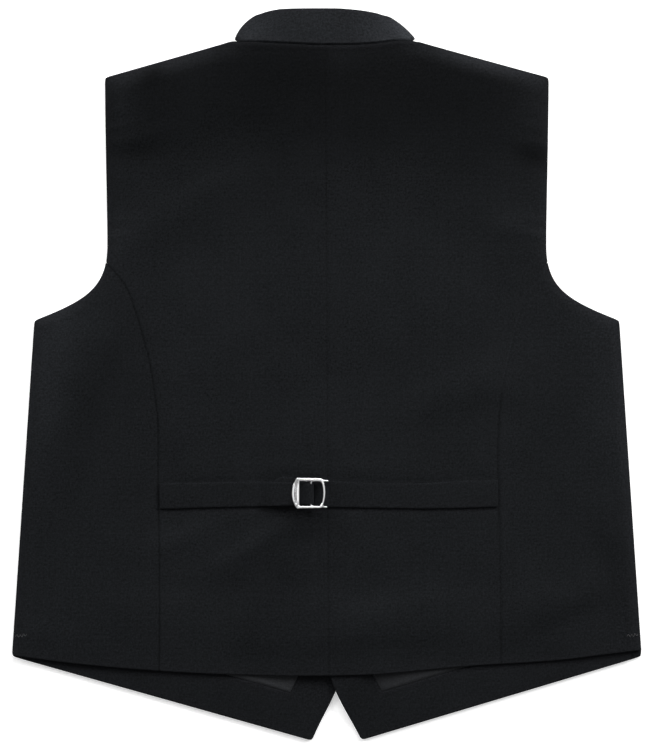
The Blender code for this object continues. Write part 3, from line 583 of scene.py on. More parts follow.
def painted_seam_shade(x, y):
    """Painted shade: a dark line beside the back's seams, on their left."""
    tone = (0.7 - 0.4 * smooth((y - 180) / 60)) * hill(away(x, y, CENTER - (0.7, 0)), 0.9)
    tone += hill(away(x, y, princess(-1) - (0.3, 0)), 0.9)
    return tone + smooth((10 - y) / 40) * hill(away(x, y, princess(1) - (0.4, 0)), 0.9)


def paint_shading(piece, amount=0.0, rows=PAINTED_SHADING, seams=False):
    """Stores painted shade and light on a piece, which darken and lighten its cloth's colour."""
    at = np.empty(len(piece.data.vertices) * 3, np.float32)
    piece.data.vertices.foreach_get("co", at)
    x, y = at[0::3] / MM, at[1::3] / MM
    value = amount + soft(x, y, rows) - (painted_seam_shade(x, y) if seams else 0.0)
    # the attribute holds painted shade below zero and painted light above zero
    layer = piece.data.attributes.new("mottle_and_painted_shading", "FLOAT", "POINT")
    layer.data.foreach_set("value", np.clip(value, -1.8, 8).astype(np.float32))


def crowded(count):
    """Stations from 0 to 1, closer together at both ends."""
    w = np.linspace(0, 1, count)
    return w + 0.9 * (smooth(w) - w)


def dress(piece, node, slot, plan=None, keep=None, flat=None):
    """Puts a finished piece in its node's place, with its material and its flat cut."""
    piece.data.materials.append(look(slot))
    # pieces without painted shade or light get a zero value, which leaves their colour as it is
    if slot != "buckle" and "mottle_and_painted_shading" not in piece.data.attributes:
        paint_shading(piece, rows=())
    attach(piece, "root")
    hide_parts(node)
    if plan is None:
        return
    area = flat_area(plan, keep)
    if flat is None:
        shown = plan if keep is None else plan[:-1, :-1][keep]
        flat = np.ptp(shown[..., 0]), np.ptp(shown[..., 1])
        if area < 0.3 * flat[0] * flat[1] * MM * MM:      # a facing: one strip with a corner
            flat = FACING_WIDTH, area / (FACING_WIDTH * MM * MM)
    width, length = (float(max(v * MM, 0.01)) for v in flat)
    area = min(area, width * length)
    print("sheet", piece.name, "flat %.3f x %.3f m, area %.4f m2" % (width, length, area))


def lifted(plan, z):
    return np.concatenate([plan, np.broadcast_to(z, plan.shape[:2])[..., None]], -1)


# ---------------------------------------------------------------------- materials

def principled(name):
    mat = bpy.data.materials.new(name)
    mat.use_nodes = True
    tree = mat.node_tree
    return mat, tree, tree.nodes["Principled BSDF"]


def plug(tree, node, inputs):
    """Fills a node's inputs, from (socket, value or output) pairs."""
    for socket, source in inputs:
        if hasattr(source, "links"):
            tree.links.new(source, node.inputs[socket])
        else:
            node.inputs[socket].default_value = source


def linked(tree, kind, inputs=(), out=0, **values):
    """The output of a new node, with the node's values set and its inputs filled."""
    node = tree.nodes.new(kind)
    for key, value in values.items():
        setattr(node, key, value)
    plug(tree, node, inputs)
    return node.outputs[out]


def noise(tree, where, scale, detail=2.0, rough=0.5, drawn_out=None):
    """Noise at a place, drawn out along the axis whose share is below one."""
    if drawn_out:
        where = linked(tree, "ShaderNodeMapping", [("Vector", where), ("Scale", drawn_out)])
    return linked(tree, "ShaderNodeTexNoise", [("Vector", where), ("Scale", scale),
                                               ("Detail", detail), ("Roughness", rough)])


def bands(tree, where, scale, distortion, way, detail_scale=1.0):
    """Parallel threads across a place."""
    return linked(tree, "ShaderNodeTexWave",
                  [("Vector", where), ("Scale", scale), ("Distortion", distortion), ("Detail", 2.0),
                   ("Detail Scale", detail_scale)], "Fac", wave_type="BANDS", bands_direction=way)


def mixed(tree, a, b, share):
    return linked(tree, "ShaderNodeMix", [(0, share), (2, a), (3, b)], data_type="FLOAT")


def toned(tree, share, dark, light, low=0.0, high=1.0):
    """A colour that goes from dark to light as a share goes from low to high."""
    color = linked(tree, "ShaderNodeValToRGB", [("Fac", share)])
    for stop, at, tone in zip(color.node.color_ramp.elements, (low, high), (dark, light)):
        stop.position, stop.color = at, (*tone, 1.0)
    return color


def ranged(tree, share, low, high):
    """A value from low to high as a noise goes from 0.3 to 0.7."""
    return linked(tree, "ShaderNodeMapRange", [("Value", share), ("From Min", 0.3), ("From Max", 0.7),
                                               ("To Min", low), ("To Max", high)])


def bumped(tree, height, strength, distance):
    return linked(tree, "ShaderNodeBump", [("Height", height), ("Strength", strength),
                                           ("Distance", distance)])


def object_place(tree):
    return linked(tree, "ShaderNodeTexCoord", out="Object")


def shade(color, share):
    return tuple(float(c) * share for c in color)


def woven(name, color, tones, pitch, rough, sheen, level, bump, satin=False):
    """Woven cloth: warp and weft, slubs, a random mottle and a soft sheen, its colour darkened and
    lightened by the piece's painted shade and light.
    """
    mat, tree, shader = principled(name)
    uv = linked(tree, "ShaderNodeUVMap", uv_map="cloth")
    pace = 0.314 / pitch
    warp = bands(tree, uv, pace, 1.6, "X", 1.4)
    weft = bands(tree, uv, pace * (2.2 if satin else 1.06), 1.9, "DIAGONAL" if satin else "Y", 1.3)
    # slubs: noise drawn out along the weft, and along the warp
    slub = noise(tree, uv, 620.0, 3.0, 0.6, (0.34, 1.0, 1.0))
    streak = noise(tree, uv, 700.0, 2.0, 0.6, (1.0, 0.4, 1.0))
    grain, mottle_and_painted_shading = noise(tree, uv, 560.0, 3.0, 0.75), noise(tree, uv, 34.0, 4.0, 0.62)
    threads = mixed(tree, slub, streak, 0.5)
    mottle = mixed(tree, mottle_and_painted_shading, noise(tree, uv, 9.0), 0.5)
    tone = mixed(tree, mixed(tree, threads, grain, 0.65), mottle, 0.16)
    # painted shade and light stored on the piece darken and lighten the cloth's colour
    painted_value = linked(tree, "ShaderNodeAttribute", out="Fac", attribute_type="GEOMETRY", attribute_name="mottle_and_painted_shading")
    share = linked(tree, "ShaderNodeMath", [(0, painted_value), (1, 0.4), (2, 1.0)], operation="MULTIPLY_ADD")
    cloth = toned(tree, tone, shade(color, tones[0]), shade(color, tones[1]), 0.41, 0.59)
    height = mixed(tree, mixed(tree, warp, weft, 0.5), mixed(tree, threads, grain, 0.5), 0.5)
    plug(tree, shader, [
        ("Base Color", linked(tree, "ShaderNodeVectorMath", [(0, cloth), (3, share)], operation="SCALE")),
        ("Roughness", ranged(tree, mixed(tree, mottle_and_painted_shading, grain, 0.4), rough - 0.06, rough + 0.06)),
        ("Normal", bumped(tree, height, bump, 0.0006)),
        ("Specular IOR Level", level), ("Anisotropic", 0.35 if satin else 0.0),
        ("Sheen Weight", sheen), ("Sheen Roughness", 0.45), ("Sheen Tint", (0.55, 0.58, 0.64, 1.0))])
    return mat


def silver(name, color, rough):
    """Plated buckle metal, with a faint grain and small rubbed spots."""
    mat, tree, shader = principled(name)
    spots = noise(tree, object_place(tree), 260.0, 4.0, 0.65)
    fine = noise(tree, object_place(tree), 1500.0, 3.0, drawn_out=(1.0, 0.25, 1.0))
    plug(tree, shader, [
        ("Base Color", toned(tree, spots, shade(color, 0.86), color, 0.36, 0.6)),
        ("Roughness", ranged(tree, spots, rough - 0.05, rough + 0.09)),
        ("Normal", bumped(tree, fine, 0.12, 0.00004)), ("Metallic", 1.0)])
    return mat


def spun(name, color):
    """Sewing thread, twisted."""
    mat, tree, shader = principled(name)
    twist = bands(tree, object_place(tree), 900.0, 1.0, "DIAGONAL")
    plug(tree, shader, [("Base Color", toned(tree, twist, shade(color, 0.6), color)),
                        ("Normal", bumped(tree, twist, 0.4, 0.0001)),
                        ("Roughness", 0.6), ("Sheen Weight", 0.05)])
    return mat


def look(slot):
    """The material of a slot, made when it is first used."""
    c, pitch = bpy.context.scene.vest_colours, bpy.context.scene.vest_cloth.pitch
    # cloth: name, colour, its dark and light share, pitch, roughness, sheen, reflection, relief
    row = {"wool": ("black_wool", c.wool, (0.55, 1.45), pitch, c.wool_roughness, 0.01, 0.015, 0.8),
           "webbing": ("belt_wool", c.belt, (0.55, 1.45), pitch * 0.9, c.wool_roughness, 0.01, 0.015, 0.8),
           "lining": ("lining_satin", c.lining, (0.75, 1.25), pitch * 0.6, 0.44, 0.02, 0.05, 0.4, True),
           "buckle": ("buckle_silver", c.buckle, 0.22)}[slot]
    make = silver if slot == "buckle" else woven
    return bpy.data.materials.get(row[0]) or make(*row)


# -------------------------------------------------------------------------- pieces

def back_panel(name, side, plan, cloth):
    """A panel of the back over its plan, with its seams and creases in the upper side."""
    plan = eased(plan)
    x, y = plan[..., 0], plan[..., 1]
    z = back_under(x, y)
    piece = grid_mesh(name + side + "_cloth", lifted(plan, z),
                      lifted(plan, z + CLOTH + back_finish(x, y, cloth)), plan)
    # painted shade and light from the table, and painted shade beside the seams
    paint_shading(piece, seams=True)
    dress(piece, name + side, "wool", plan)


def back_center(sign, side, cloth):
    """Centre panel of the back: hem to neck, centre seam to princess seam and armhole."""
    seam, arm, tip_y = princess(sign), armhole(sign), SHOULDER_TIP[1]
    rows_in = steps(0, 1, 5, 6, 146, 3, 178, 8, 376, 8, 574, 1, 579.4)
    hem_c, hem_p = along(HEM, 0, np.array([center_x(-276), seam[0][0]]))
    top_c = along(NECK, 0, np.array([center_x(303)]))[0]
    outer_y = steps(hem_p[1], 1, hem_p[1] + 5, 6, -130, 3, -98, 3, 20, 5, PRINCESS_TOP,
                    8, tip_y - 6, 1, tip_y)
    rows = graded(rows_in[-1], cloth.cell / MM) * rows_in[-1]
    inner_y = hem_c[1] + (top_c[1] - hem_c[1]) * rows / rows[-1]
    inner = np.stack([center_x(inner_y), inner_y], -1)
    edge = np.vstack([seam, arm[arm[:, 1] > PRINCESS_TOP + 1]])
    outer = along(edge, 1, np.interp(rows, rows_in, outer_y))
    inner[0], outer[0], inner[-1] = hem_c, hem_p, top_c
    share = graded(abs(hem_p[0] - hem_c[0]), cloth.cell / MM)
    bottom = along(HEM, 0, inner[0][0] + (outer[0][0] - inner[0][0]) * share)
    # the neck point lies a little past the middle of the panel's upper side
    k = int(np.argmin(np.abs(share - 0.513)))
    npt = neck_point(sign)
    neck = along(NECK, 0, top_c[0] + (npt[0] - top_c[0]) * share[:k + 1] / share[k])
    neck[0], neck[-1] = top_c, npt + (0, -0.6)
    out = (share[k + 1:] - share[k])[:, None] / (1 - share[k])
    top = np.vstack([neck, npt + (outer[-1] - npt) * out])
    back_panel("back_center_", side, coons(bottom, top, inner, outer), cloth)


def back_side(sign, side, cloth):
    """Side panel of the back: princess seam out to the side seam, hem up to the armhole."""
    seam, arm = princess(sign), armhole(sign)
    hem_i = along(HEM, 0, seam[:1, 0])[0]
    hem_o = np.array([SIDE_HEM[0] * sign, HEM[0 if sign < 0 else -1][1]])
    tip = np.array([202.8 * sign, PRINCESS_TOP - 0.4])
    rows = graded(tip[1] - hem_i[1], cloth.cell / MM)
    inner = along(seam, 1, hem_i[1] + (tip[1] - hem_i[1]) * rows)
    outer = along(side_seam(sign), 1, hem_o[1] + (SIDE_TOP[1] - hem_o[1]) * rows)
    inner[0], outer[0], inner[-1] = hem_i, hem_o, tip
    share = graded(abs(hem_o[0] - hem_i[0]), cloth.cell / MM)
    bottom = along(HEM, 0, inner[0][0] + (outer[0][0] - inner[0][0]) * share)
    under = arm[arm[:, 1] < tip[1]][::-1]
    top = along(np.vstack([[tip], under]), 0, tip[0] + (SIDE_TOP[0] * sign - tip[0]) * share)
    outer[-1] = top[-1]
    back_panel("back_side_", side, coons(bottom, top, inner, outer), cloth)


def front_neckline(s):
    """From the neck point down to the front's centre line."""
    start = neck_point(s) + (0, -0.9)
    return bezier(start, (start[0] - 3.4 * s, 258.0), (CLOSURE + 56 * s, FRONT_NECK),
                  (CLOSURE, FRONT_NECK))


def front_sides(side, inset):
    """Centre edge going down, outer side going up, top going out; all inset alike."""
    row = FRONTS[side]
    s, curve = row["sign"], bezier(*row["edge"])
    edge = np.vstack([[(curve[0][0], 260.0)], curve])
    seam = sided([FRONT_HEM_END, SIDE_TOP], s)
    shoulder = np.linspace(sided(SHOULDER_TIP, s), neck_point(s) + (0, -0.9), 5)
    neckline = np.vstack([front_neckline(s), [(CLOSURE - 40 * s, FRONT_NECK)]])
    parts = [seam, armhole(s, 3.0), shoulder, neckline]
    if inset:
        parts = trimmed([shifted(c, inset * s) for c in parts])
    seam, arm, shoulder, neckline = parts
    return s, edge, curve[-1], np.vstack([seam, arm[1:]]), neckline[::-1], shoulder[::-1]


def front_grid(side, inset=0.0):
    """Plan grid of a front; its first k columns and first m rows are the facing."""
    s, edge, point, outer, neckline, shoulder = front_sides(side, inset)
    t = w = graded(FACING_WIDTH, 3.2)[:, None]
    k = m = len(t) - 1
    hem_end = sided(FRONT_HEM_END, s)
    hem_run = (hem_end - point) / np.linalg.norm(hem_end - point)
    hem = np.array([point, hem_end])
    hem_inner = shifted(hem, FACING_WIDTH * s) + np.array([[-40.0], [40.0]]) * hem_run
    down = shifted(edge, FACING_WIDTH * s)
    corner = crossing(down, hem_inner)
    foot = point + hem_run * np.dot(corner - point, hem_run)
    near = edge[np.argmin(np.linalg.norm(edge - corner, axis=1))]
    if inset:
        hem_end = hem_end - hem_run * inset
    inner_end = crossing(hem_inner, outer)
    cols = steps(0, 3, 0.006, 15, 0.3, 35, 0.99, 2, 1.0)[:, None]
    cf_y = steps(near[1], 3, near[1] + 3, 15, -240, 40, 49.8, 15, 118, 20, neckline[0][1])
    side_y = steps(inner_end[1], 3, inner_end[1] + 3, 15, -190, 35, 44, 5, 58, 15, 118,
                   20, outer[-1][1])
    down_y = cf_y + (corner[1] - near[1]) * (1 - smooth((cf_y - near[1]) / 60))
    left, middle = along(edge, 1, cf_y), along(down, 1, down_y)
    right = along(outer, 1, side_y)
    right[0], left[0], middle[0] = inner_end, near, corner
    neck = along(neckline, 0, left[-1][0] + (middle[-1][0] - left[-1][0]) * t[:, 0])
    left[-1], middle[-1] = neck[0], neck[-1]
    rest = neckline[(neckline[:, 0] - neck[-1][0]) * s > 0.5]
    count = len(cols) - 1
    around = spaced(np.vstack([[neck[-1]], rest]), count * 6 // 10)
    top = np.vstack([around, spaced(shoulder, count - count * 6 // 10)[1:]])
    right[-1] = top[-1]
    lerp = lambda a, b, f: a + (b - a) * f
    cut = lerp(foot, corner, w)
    edge_low = along(edge, 1, point[1] + (near[1] - point[1]) * w[:, 0])
    corner_block = coons(lerp(point, foot, t), lerp(near, corner, t), edge_low, cut)
    hem_block = coons(lerp(foot, hem_end, cols), lerp(corner, inner_end, cols), cut,
                      lerp(hem_end, inner_end, w))
    strip_block = coons(lerp(near, corner, t), neck, left, middle)
    main_block = coons(lerp(corner, inner_end, cols), top, middle, right)
    low = np.concatenate([corner_block, hem_block[1:]], 0)
    high = np.concatenate([strip_block, main_block[1:]], 0)
    return eased(np.concatenate([low, high[:, 1:]], 1)), k, m, s


def front_layers(side, cloth):
    """A front, and inside it its facing and lining, joined by one seam."""
    plan, k, m, s = front_grid(side)
    x, y = plan[..., 0], plan[..., 1]
    rise = lap if s > 0 else lambda x, y: np.zeros(x.shape)
    curve = FRONTS[side]["edge"]
    edge = np.vstack([[(curve[0][0], 230.0)], bezier(*curve)])
    hem = np.array([edge[-1], sided(FRONT_HEM_END, s)])
    rim = np.minimum(away(x, y, edge), away(x, y, hem))
    z = rise(x, y)
    low = lifted(plan, z + 0.45 * (1 - smooth(rim / 1.6)))
    front = grid_mesh("front_%s_cloth" % side, low, lifted(plan, z + CLOTH), plan)
    dress(front, "front_" + side, "wool", plan)
    plan, k, m, s = front_grid(side, SEWN_IN)
    i, j = np.meshgrid(np.arange(plan.shape[0] - 1), np.arange(plan.shape[1] - 1), indexing="ij")
    facing = (i < k) | (j < m)
    x, y = plan[..., 0], plan[..., 1]
    d = away(x, y, np.vstack([plan[k, m:][::-1], plan[k:, m][1:]]))
    rim = np.minimum(away(x, y, edge), away(x, y, hem))
    base = rise(x, y) + INNER
    folds = cloth.crease * soft(x, y, FRONT_FOLDS)
    for name, slot, cells, shift in (("facing_", "wool", facing, -GAP / 2),
                                     ("lining_", "lining", ~facing, GAP / 2)):
        grid = plan.copy()
        grid[k, m:, 0] += shift * s
        grid[k:, m, 1] += shift
        top = base + LINING + folds * smooth(rim / 6) + ditch(d, 0.45, 0.9) + pucker(x + y, d, 6.0, 0.05)
        if name == "facing_":
            top = top + rounded(rim, 1.2) + pucker(x - y, rim, 5.0, 0.03)
        else:
            # the lining's fold stands a little proud along its hem
            top = top + 0.35 * hill(d - 2.6, 1.8)
        piece = grid_mesh(name + side + "_cloth", lifted(grid, base), lifted(grid, top), plan, cells)
        # painted shade on the facings, painted light on the left lining against the hem's shadow
        paint_shading(piece, -0.15 if name == "facing_" else 0.7 if s < 0 else 0.0, ())
        dress(piece, name + side, slot, plan, cells)


def collar_ribs():
    """Ribs of the band [station, across, xyz] with their normals, as the solid has them."""
    mid, fold_top = BAND / 2, 4.45
    wrap = (fold_top - mid) / 2
    # folds: middle of the seam end, middle of the free end, its upper corner, bow of the end
    ends = {-1: ((-82, 306.7), (-66, 325.6), (-62, 330.6), 2.5),
            1: ((78.6, 307.1), (58.5, 324.3), (53.6, 329.3), 1.4)}
    # how the front halves lean: share of the neckline, angle
    lean = np.array([(0.10, 30), (0.22, 24), (0.36, 28), (0.50, 40), (0.64, 55), (0.78, 70),
                     (0.90, 82), (1.0, 90)]).T
    across = np.linspace(0, 1, 17)
    ribs, normals, sides = [], [], []

    def rib(a, b, za, zb, bow, turn, out, upper):
        line = a + (b - a) * across[:, None] + out * bow * (4 * across * (1 - across))[:, None]
        ribs.append(np.concatenate([line, (za + (zb - za) * across)[:, None]], -1))
        normals.append(np.tile((*(out * math.sin(turn)), math.cos(turn)), (len(across), 1)))
        sides.append(upper)

    def front_half(sign):
        curve = shifted(front_neckline(sign), -0.7 * sign)
        rows = []
        for share in np.linspace(0.075, 1.0, 25):
            at = share * (len(curve) - 1)
            a = np.array([np.interp(at, np.arange(len(curve)), curve[:, c]) for c in (0, 1)])
            if share == 1.0:
                a = np.array([CLOSURE + 0.3 * sign, FRONT_NECK + 0.7])
            c = math.radians(np.interp(share, *lean))
            rows.append((a, a + COLLAR_HEIGHT * np.array([-sign * math.cos(c), math.sin(c)])))
        for a, b in rows if sign > 0 else reversed(rows):
            rib(a, b, mid, mid, 0.0, math.pi, np.array([0.76 * sign, 0.64]), False)

    def fold(sign, order):
        a, b, corner, bow = (np.array(v) for v in ends[sign])
        run = (b - a) / np.linalg.norm(b - a)
        out = np.array([run[1], -run[0]]) * sign
        for angle in order:
            turn = math.radians(angle)
            move = out * wrap * math.sin(turn)
            z = mid + wrap + wrap * math.cos(turn)
            # the free edge runs on to the upper half's corner, the seam end flares a little
            free = b + run * 2.0 * min(1.0, 1 + math.cos(turn))
            free = free + (corner - free) * max(math.cos(turn), 0.0) ** 2
            start = a - run * math.sin(turn) ** 2
            rib(start + move, free + move, z, z, bow, turn, out, math.cos(turn) > 0)

    front_half(-1)
    fold(-1, np.linspace(180, 0, 13))
    # upper half: its free edge x, y; then its ribs: x at the seam, x and height at the free edge
    top = np.array([(-61, 331.3), (-57.8, 332.3), (-52.3, 333.9), (-43.1, 335.5), (-34, 335.9),
                    (-22, 336), (0, 336), (11.9, 335.9), (21.1, 335.2), (30.3, 334.4),
                    (39.5, 333), (45, 331.9), (48.7, 330.9), (53, 329.3)])
    rows = np.array([(-78.4, -59.2, 4.5), (-73, -54.4, 4.8), (-64, -47, 5.3), (-52, -39, 5.9),
                     (-38, -29, 6.7), (-24, -18, 7.4), (-10, -8, 7.8), (4, 4, 7.9), (18, 14, 7.7),
                     (32, 24, 7.1), (46, 33, 6.2), (58, 40.6, 5.5), (68, 46.6, 4.9), (74, 50.8, 4.5)])
    for seam_x, free_x, free_z in through(rows, 4):
        a = along(NECK, 0, np.array([seam_x]))[0] + (0, GAP)
        b = along(top, 0, np.array([free_x]))[0]
        za = float(back_under(a[0], a[1] - 1.0)) + CLOTH / 2
        rib(a, b, max(za, 4.6), free_z, 0.0, 0.0, np.array([0.0, 1.0]), True)
    fold(1, np.linspace(0, 180, 13))
    front_half(1)
    return np.array(ribs), np.array(normals), np.array(sides, float)


def collar(cloth):
    """The band collar: one stiffened strip, folded at both ends round the neck."""
    ribs, normals, upper = collar_ribs()
    upper = smooth(np.convolve(np.pad(upper, 4, "edge"), np.ones(9) / 9, "valid") * 2 - 1)
    # the strip is smoothed along its run where its halves join the folds
    for _ in range(2):
        for rows in (ribs, normals):
            rows[1:-1] = (rows[:-2] + 2 * rows[1:-1] + rows[2:]) / 4
    normals /= np.linalg.norm(normals, axis=2)[..., None]
    w, even = crowded(ribs.shape[1]), np.linspace(0, 1, ribs.shape[1])
    ribs = np.stack([[np.interp(w, even, r[:, c]) for c in range(3)] for r in ribs]).transpose(0, 2, 1)
    run = run_along(ribs[:, 8])
    s = run[:, None]
    half = BAND / 2 - turned(COLLAR_HEIGHT * np.minimum(w, 1 - w), 1.6, 0.75)
    swell = (0.35 * np.sin(np.pi * w)
             + 0.1 * np.sin(s / 19.0 + 2 * np.sin(s / 47.0)) * np.sin(np.pi * w) ** 0.5)
    outer = half + upper[:, None] * (cloth.crease * swell + pucker(s, COLLAR_HEIGHT * w, 6.0, 0.06))
    flat = np.stack(np.broadcast_arrays(s, COLLAR_HEIGHT * w), -1)
    # along the back its seam edge turns down and in under the back's neck edge
    tuck = (upper * (0.35 + 0.65 * loose_neck(ribs[:, 0, 0])))[:, None] * np.clip(1 - 20.0 * w, 0, 1) ** 1.5
    ribs[..., 1] -= 1.5 * tuck
    ribs[..., 2] -= 2.3 * tuck
    over = ribs + normals * np.broadcast_to(outer, ribs.shape[:2])[..., None]
    under = ribs - normals * np.broadcast_to(half, ribs.shape[:2])[..., None]
    piece = grid_mesh("collar_cloth", under, over, flat)
    # painted light over the whole collar, and painted highlights at its two ends
    paint_shading(piece, 0.7, COLLAR_PAINTED_HIGHLIGHTS)
    dress(piece, "collar", "wool", flat, flat=(run[-1], COLLAR_HEIGHT))


def strap(node, table, stations, cloth, narrow=None):
    """A belt strap with its folded edges rounded and its middle a little full, from stations
    of x, height over the back and the way its upper side faces."""
    xs, heights, facing = (np.array([row[c] for row in stations], float) for c in range(3))
    top, low = (np.interp(xs, table[:, 0], table[:, c])[:, None] for c in (1, 2))
    w = crowded(13)
    y = low + (top - low) * w
    x = np.broadcast_to(xs[:, None], y.shape)
    mid = np.stack([x, y, back_top(x, y) + heights[:, None]], -1)
    n = np.broadcast_to(facing[:, None, :], mid.shape)
    if narrow is not None:
        mid[narrow:, :, 1] = mid[narrow, :, 1]
    run = np.cumsum(np.r_[0, np.hypot(np.diff(xs), np.diff(heights))])
    s, width = run[:, None], np.ptp(mid[..., 1], axis=1)[:, None]
    half = STRAP / 2 - turned(width * np.minimum(w, 1 - w), 1.1, 0.32)
    full = 0.12 * np.sin(np.pi * w) + 0.05 * np.sin(s / 6.1 + 2 * np.sin(s / 17.0))
    flat = np.stack(np.broadcast_arrays(s, width * w), -1)
    over = mid + n * (half + cloth.crease * full * np.sin(np.pi * w) ** 0.5)[..., None]
    piece = grid_mesh(node + "_cloth", mid - n * half[..., None], over, flat)
    dress(piece, node, "webbing", flat, flat=(run[-1], float(width.max())))


def corner_loop(corners, bulges, cells, cuts):
    """Closed loop round four corners, each side bowed outwards, each corner rounded."""
    loop = []
    for k in range(4):
        a, b = np.array(corners[k]), np.array(corners[(k + 1) % 4])
        after = np.array(corners[(k + 2) % 4]) - b
        start, end = cuts[k], cuts[(k + 1) % 4]
        length = np.linalg.norm(b - a)
        run, after = (b - a) / length, after / np.linalg.norm(after)
        out = np.array([run[1], -run[0]])
        for t in np.linspace(start / length, 1 - end / length, cells[k] + 1):
            loop.append(a + (b - a) * t + out * bulges[k] * 4 * t * (1 - t))
        p0, p2 = loop[-1], b + after * end
        for t in (0.2, 0.4, 0.6, 0.8):
            loop.append((1 - t) ** 2 * p0 + 2 * t * (1 - t) * b + t * t * p2)
    return np.array(loop)


def closed_grid(name, rings, caps=True):
    """A tube from rings [station, round, xyz]: a grid wrapped round and merged."""
    nu, nv = rings.shape[0] - 1, rings.shape[1]
    bm = bmesh.new()
    bmesh.ops.create_grid(bm, x_segments=nu, y_segments=nv, size=0.5)
    for v in bm.verts:
        i, j = int(round((v.co.x + 0.5) * nu)), int(round((v.co.y + 0.5) * nv))
        v.co = rings[i, j % nv] * MM
    bmesh.ops.remove_doubles(bm, verts=bm.verts[:], dist=1e-7)
    if caps:
        bmesh.ops.holes_fill(bm, edges=[e for e in bm.edges if e.is_boundary], sides=nv)
    bmesh.ops.recalc_face_normals(bm, faces=bm.faces[:])
    if bm.calc_volume(signed=True) < 0:
        bmesh.ops.reverse_faces(bm, faces=bm.faces[:])
    return finished(bm, name, 60.0)


def rod(path, radius, sides=14):
    """Rings round a path, closing to rounded ends."""
    path = np.asarray(path, float)
    run = np.gradient(path, axis=0)
    run /= np.linalg.norm(run, axis=1)[:, None]
    rings = []
    for p, t, r in zip(path, run, radius):
        across = np.cross(t, (0, 0, 1.0))
        across /= np.linalg.norm(across)
        upward = np.cross(across, t)
        a = 2 * np.pi * np.arange(sides)[:, None] / sides
        rings.append(p + r * (np.cos(a) * across + np.sin(a) * upward))
    return np.array(rings)


def frame_section(a, wing):
    """Height across a side of the frame, from -1 below to 1 above: a plain rounded bar, or on
    the crescent (wing 1) a raised bar along the window and a slope outside it."""
    bar = 1.6 * (1 - np.abs(a) ** 3.2) ** 0.5 - 0.6
    inner = 1.6 * (1 - np.clip(np.abs((a + 0.53) / 0.47), 0, 1) ** 8) ** 0.5 - 0.6
    outer = 0.15 - 0.8 * smooth((a + 0.1) / 0.65) - 0.3 * np.clip((a - 0.85) / 0.15, 0, 1) ** 2
    crescent = np.where(a < -0.06, np.maximum(inner, np.where(a < -0.5, -1.0, 0.1)), outer)
    return bar + wing * (crescent - bar)


def buckle_frame():
    """The frame: a crescent on the left in two slopes, and three slimmer sides."""
    cells = (12, 16, 12, 22)
    outer = corner_loop([(-27.9, -122.4), (-4.4, -122.1), (-3.9, -94.6), (-27.7, -94.1)],
                        (0.0, 3.0, 0.0, 4.1), cells, (1.0, 1.4, 1.4, 0.9))
    inner = corner_loop([(-25.1, -119.8), (-5.4, -119.8), (-5.2, -97.6), (-24.9, -97.4)],
                        (0.0, 1.9, 0.0, 0.0), cells, (1.0, 2.6, 2.6, 1.0))
    # section: across from -1 at the window to 1 outside, then back along the underside
    across = np.r_[np.linspace(-1, 1, 33), (0.85, 0.4, 0.0, -0.4, -0.85)]
    under = np.arange(len(across)) > 32
    rings = []
    for o, i in zip(outer, inner):
        middle, half = (o + i) / 2, (o - i) / 2
        lean = float(back_top(middle[0], BUCKLE_Y))
        wing = float(smooth((2 * np.linalg.norm(half) - 4.2) / 1.6))
        height = np.where(under, -1.0, frame_section(across, wing))
        rings.append([(*(middle + half * a), lean + FRAME_UP + FRAME_THICK / 2 * (1 + b))
                      for a, b in zip(across, height)])
    rings.append(rings[0])
    return closed_grid("buckle_frame_metal", np.array(rings), caps=False)


def buckle_prongs():
    """Bar and two prongs, one bent rod whose tips slope down to the strap."""
    low_y, high_y, round_off = -120.6, -97.0, 1.8
    bends = [(round_off * (1 - math.sin(t)), round_off * (1 - math.cos(t)))
             for t in np.linspace(0, math.pi / 2, 9)]
    plan = ([(0.9, -120.9), (0.2, -120.9), (-1.6, -120.8), (-4.0, -120.7), (-11.0, low_y)]
            + [(BAR_X + dx, low_y + dy) for dx, dy in bends]
            + [(BAR_X, BUCKLE_Y - 4), (BAR_X, BUCKLE_Y + 4)]
            + [(BAR_X + dx, high_y - dy) for dx, dy in bends[::-1]]
            + [(-11.0, high_y), (-4.0, -96.9), (-1.0, -97.0), (1.0, -97.1), (1.9, -97.15)])
    path = curved([(x, y, float(back_top(x, BUCKLE_Y)) + BAR_UP - 1.1 * float(smooth((x + 1.5) / 3.0)))
                   for x, y in plan], 90)
    run = run_along(path)
    end = np.minimum(run, run[-1] - run)
    radius = BAR_R * (0.02 + 0.98 * np.clip(end / 1.6, 0, 1) ** 0.6)
    return closed_grid("buckle_prongs_metal", rod(path, radius))


def tack(side, x, y, width):
    """A short zigzag of pale thread, lying on the cloth."""
    rise = np.array([-0.2, 0.9, -0.7, 0.6, -0.9, 0.8, -0.5, 0.3])
    path = curved([(x + width * t, y + 1.6 * r + 1.6 * t, 0.0)
                   for t, r in zip(np.linspace(-0.5, 0.5, len(rise)), rise)], 70)
    x, y = path[:, 0], path[:, 1]
    path[:, 2] = back_top(x, y) + back_finish(x, y, bpy.context.scene.vest_cloth) + 0.22
    end = np.minimum(np.arange(71), np.arange(71)[::-1])
    radius = 0.17 * (0.05 + 0.95 * np.clip(end / 3, 0, 1) ** 0.5)
    return closed_grid("tack_" + side, rod(path, radius, 8))


# ------------------------------------------------------------------------ settings

class VestCloth(bpy.types.PropertyGroup):
    cell: FloatProperty(name="Cell", description="Size of the mesh's cells on the back", default=0.0026,
                        min=0.001, max=0.02, unit="LENGTH")
    pitch: FloatProperty(name="Weave pitch", description="Distance from one thread to the next",
                         default=0.00085, min=0.0002, max=0.005, unit="LENGTH")
    seam_depth: FloatProperty(name="Seam depth", description="How far the cloth turns down at a seam",
                              default=0.0004, min=0.0, max=0.0014, unit="LENGTH")
    seam_width: FloatProperty(name="Seam width", description="Half width of a seam's ditch",
                              default=0.0009, min=0.0003, max=0.01, unit="LENGTH")
    crease: FloatProperty(name="Creases", description="Strength of the creases and fullness",
                          default=1.0, min=0.0, max=2.0, subtype="FACTOR")


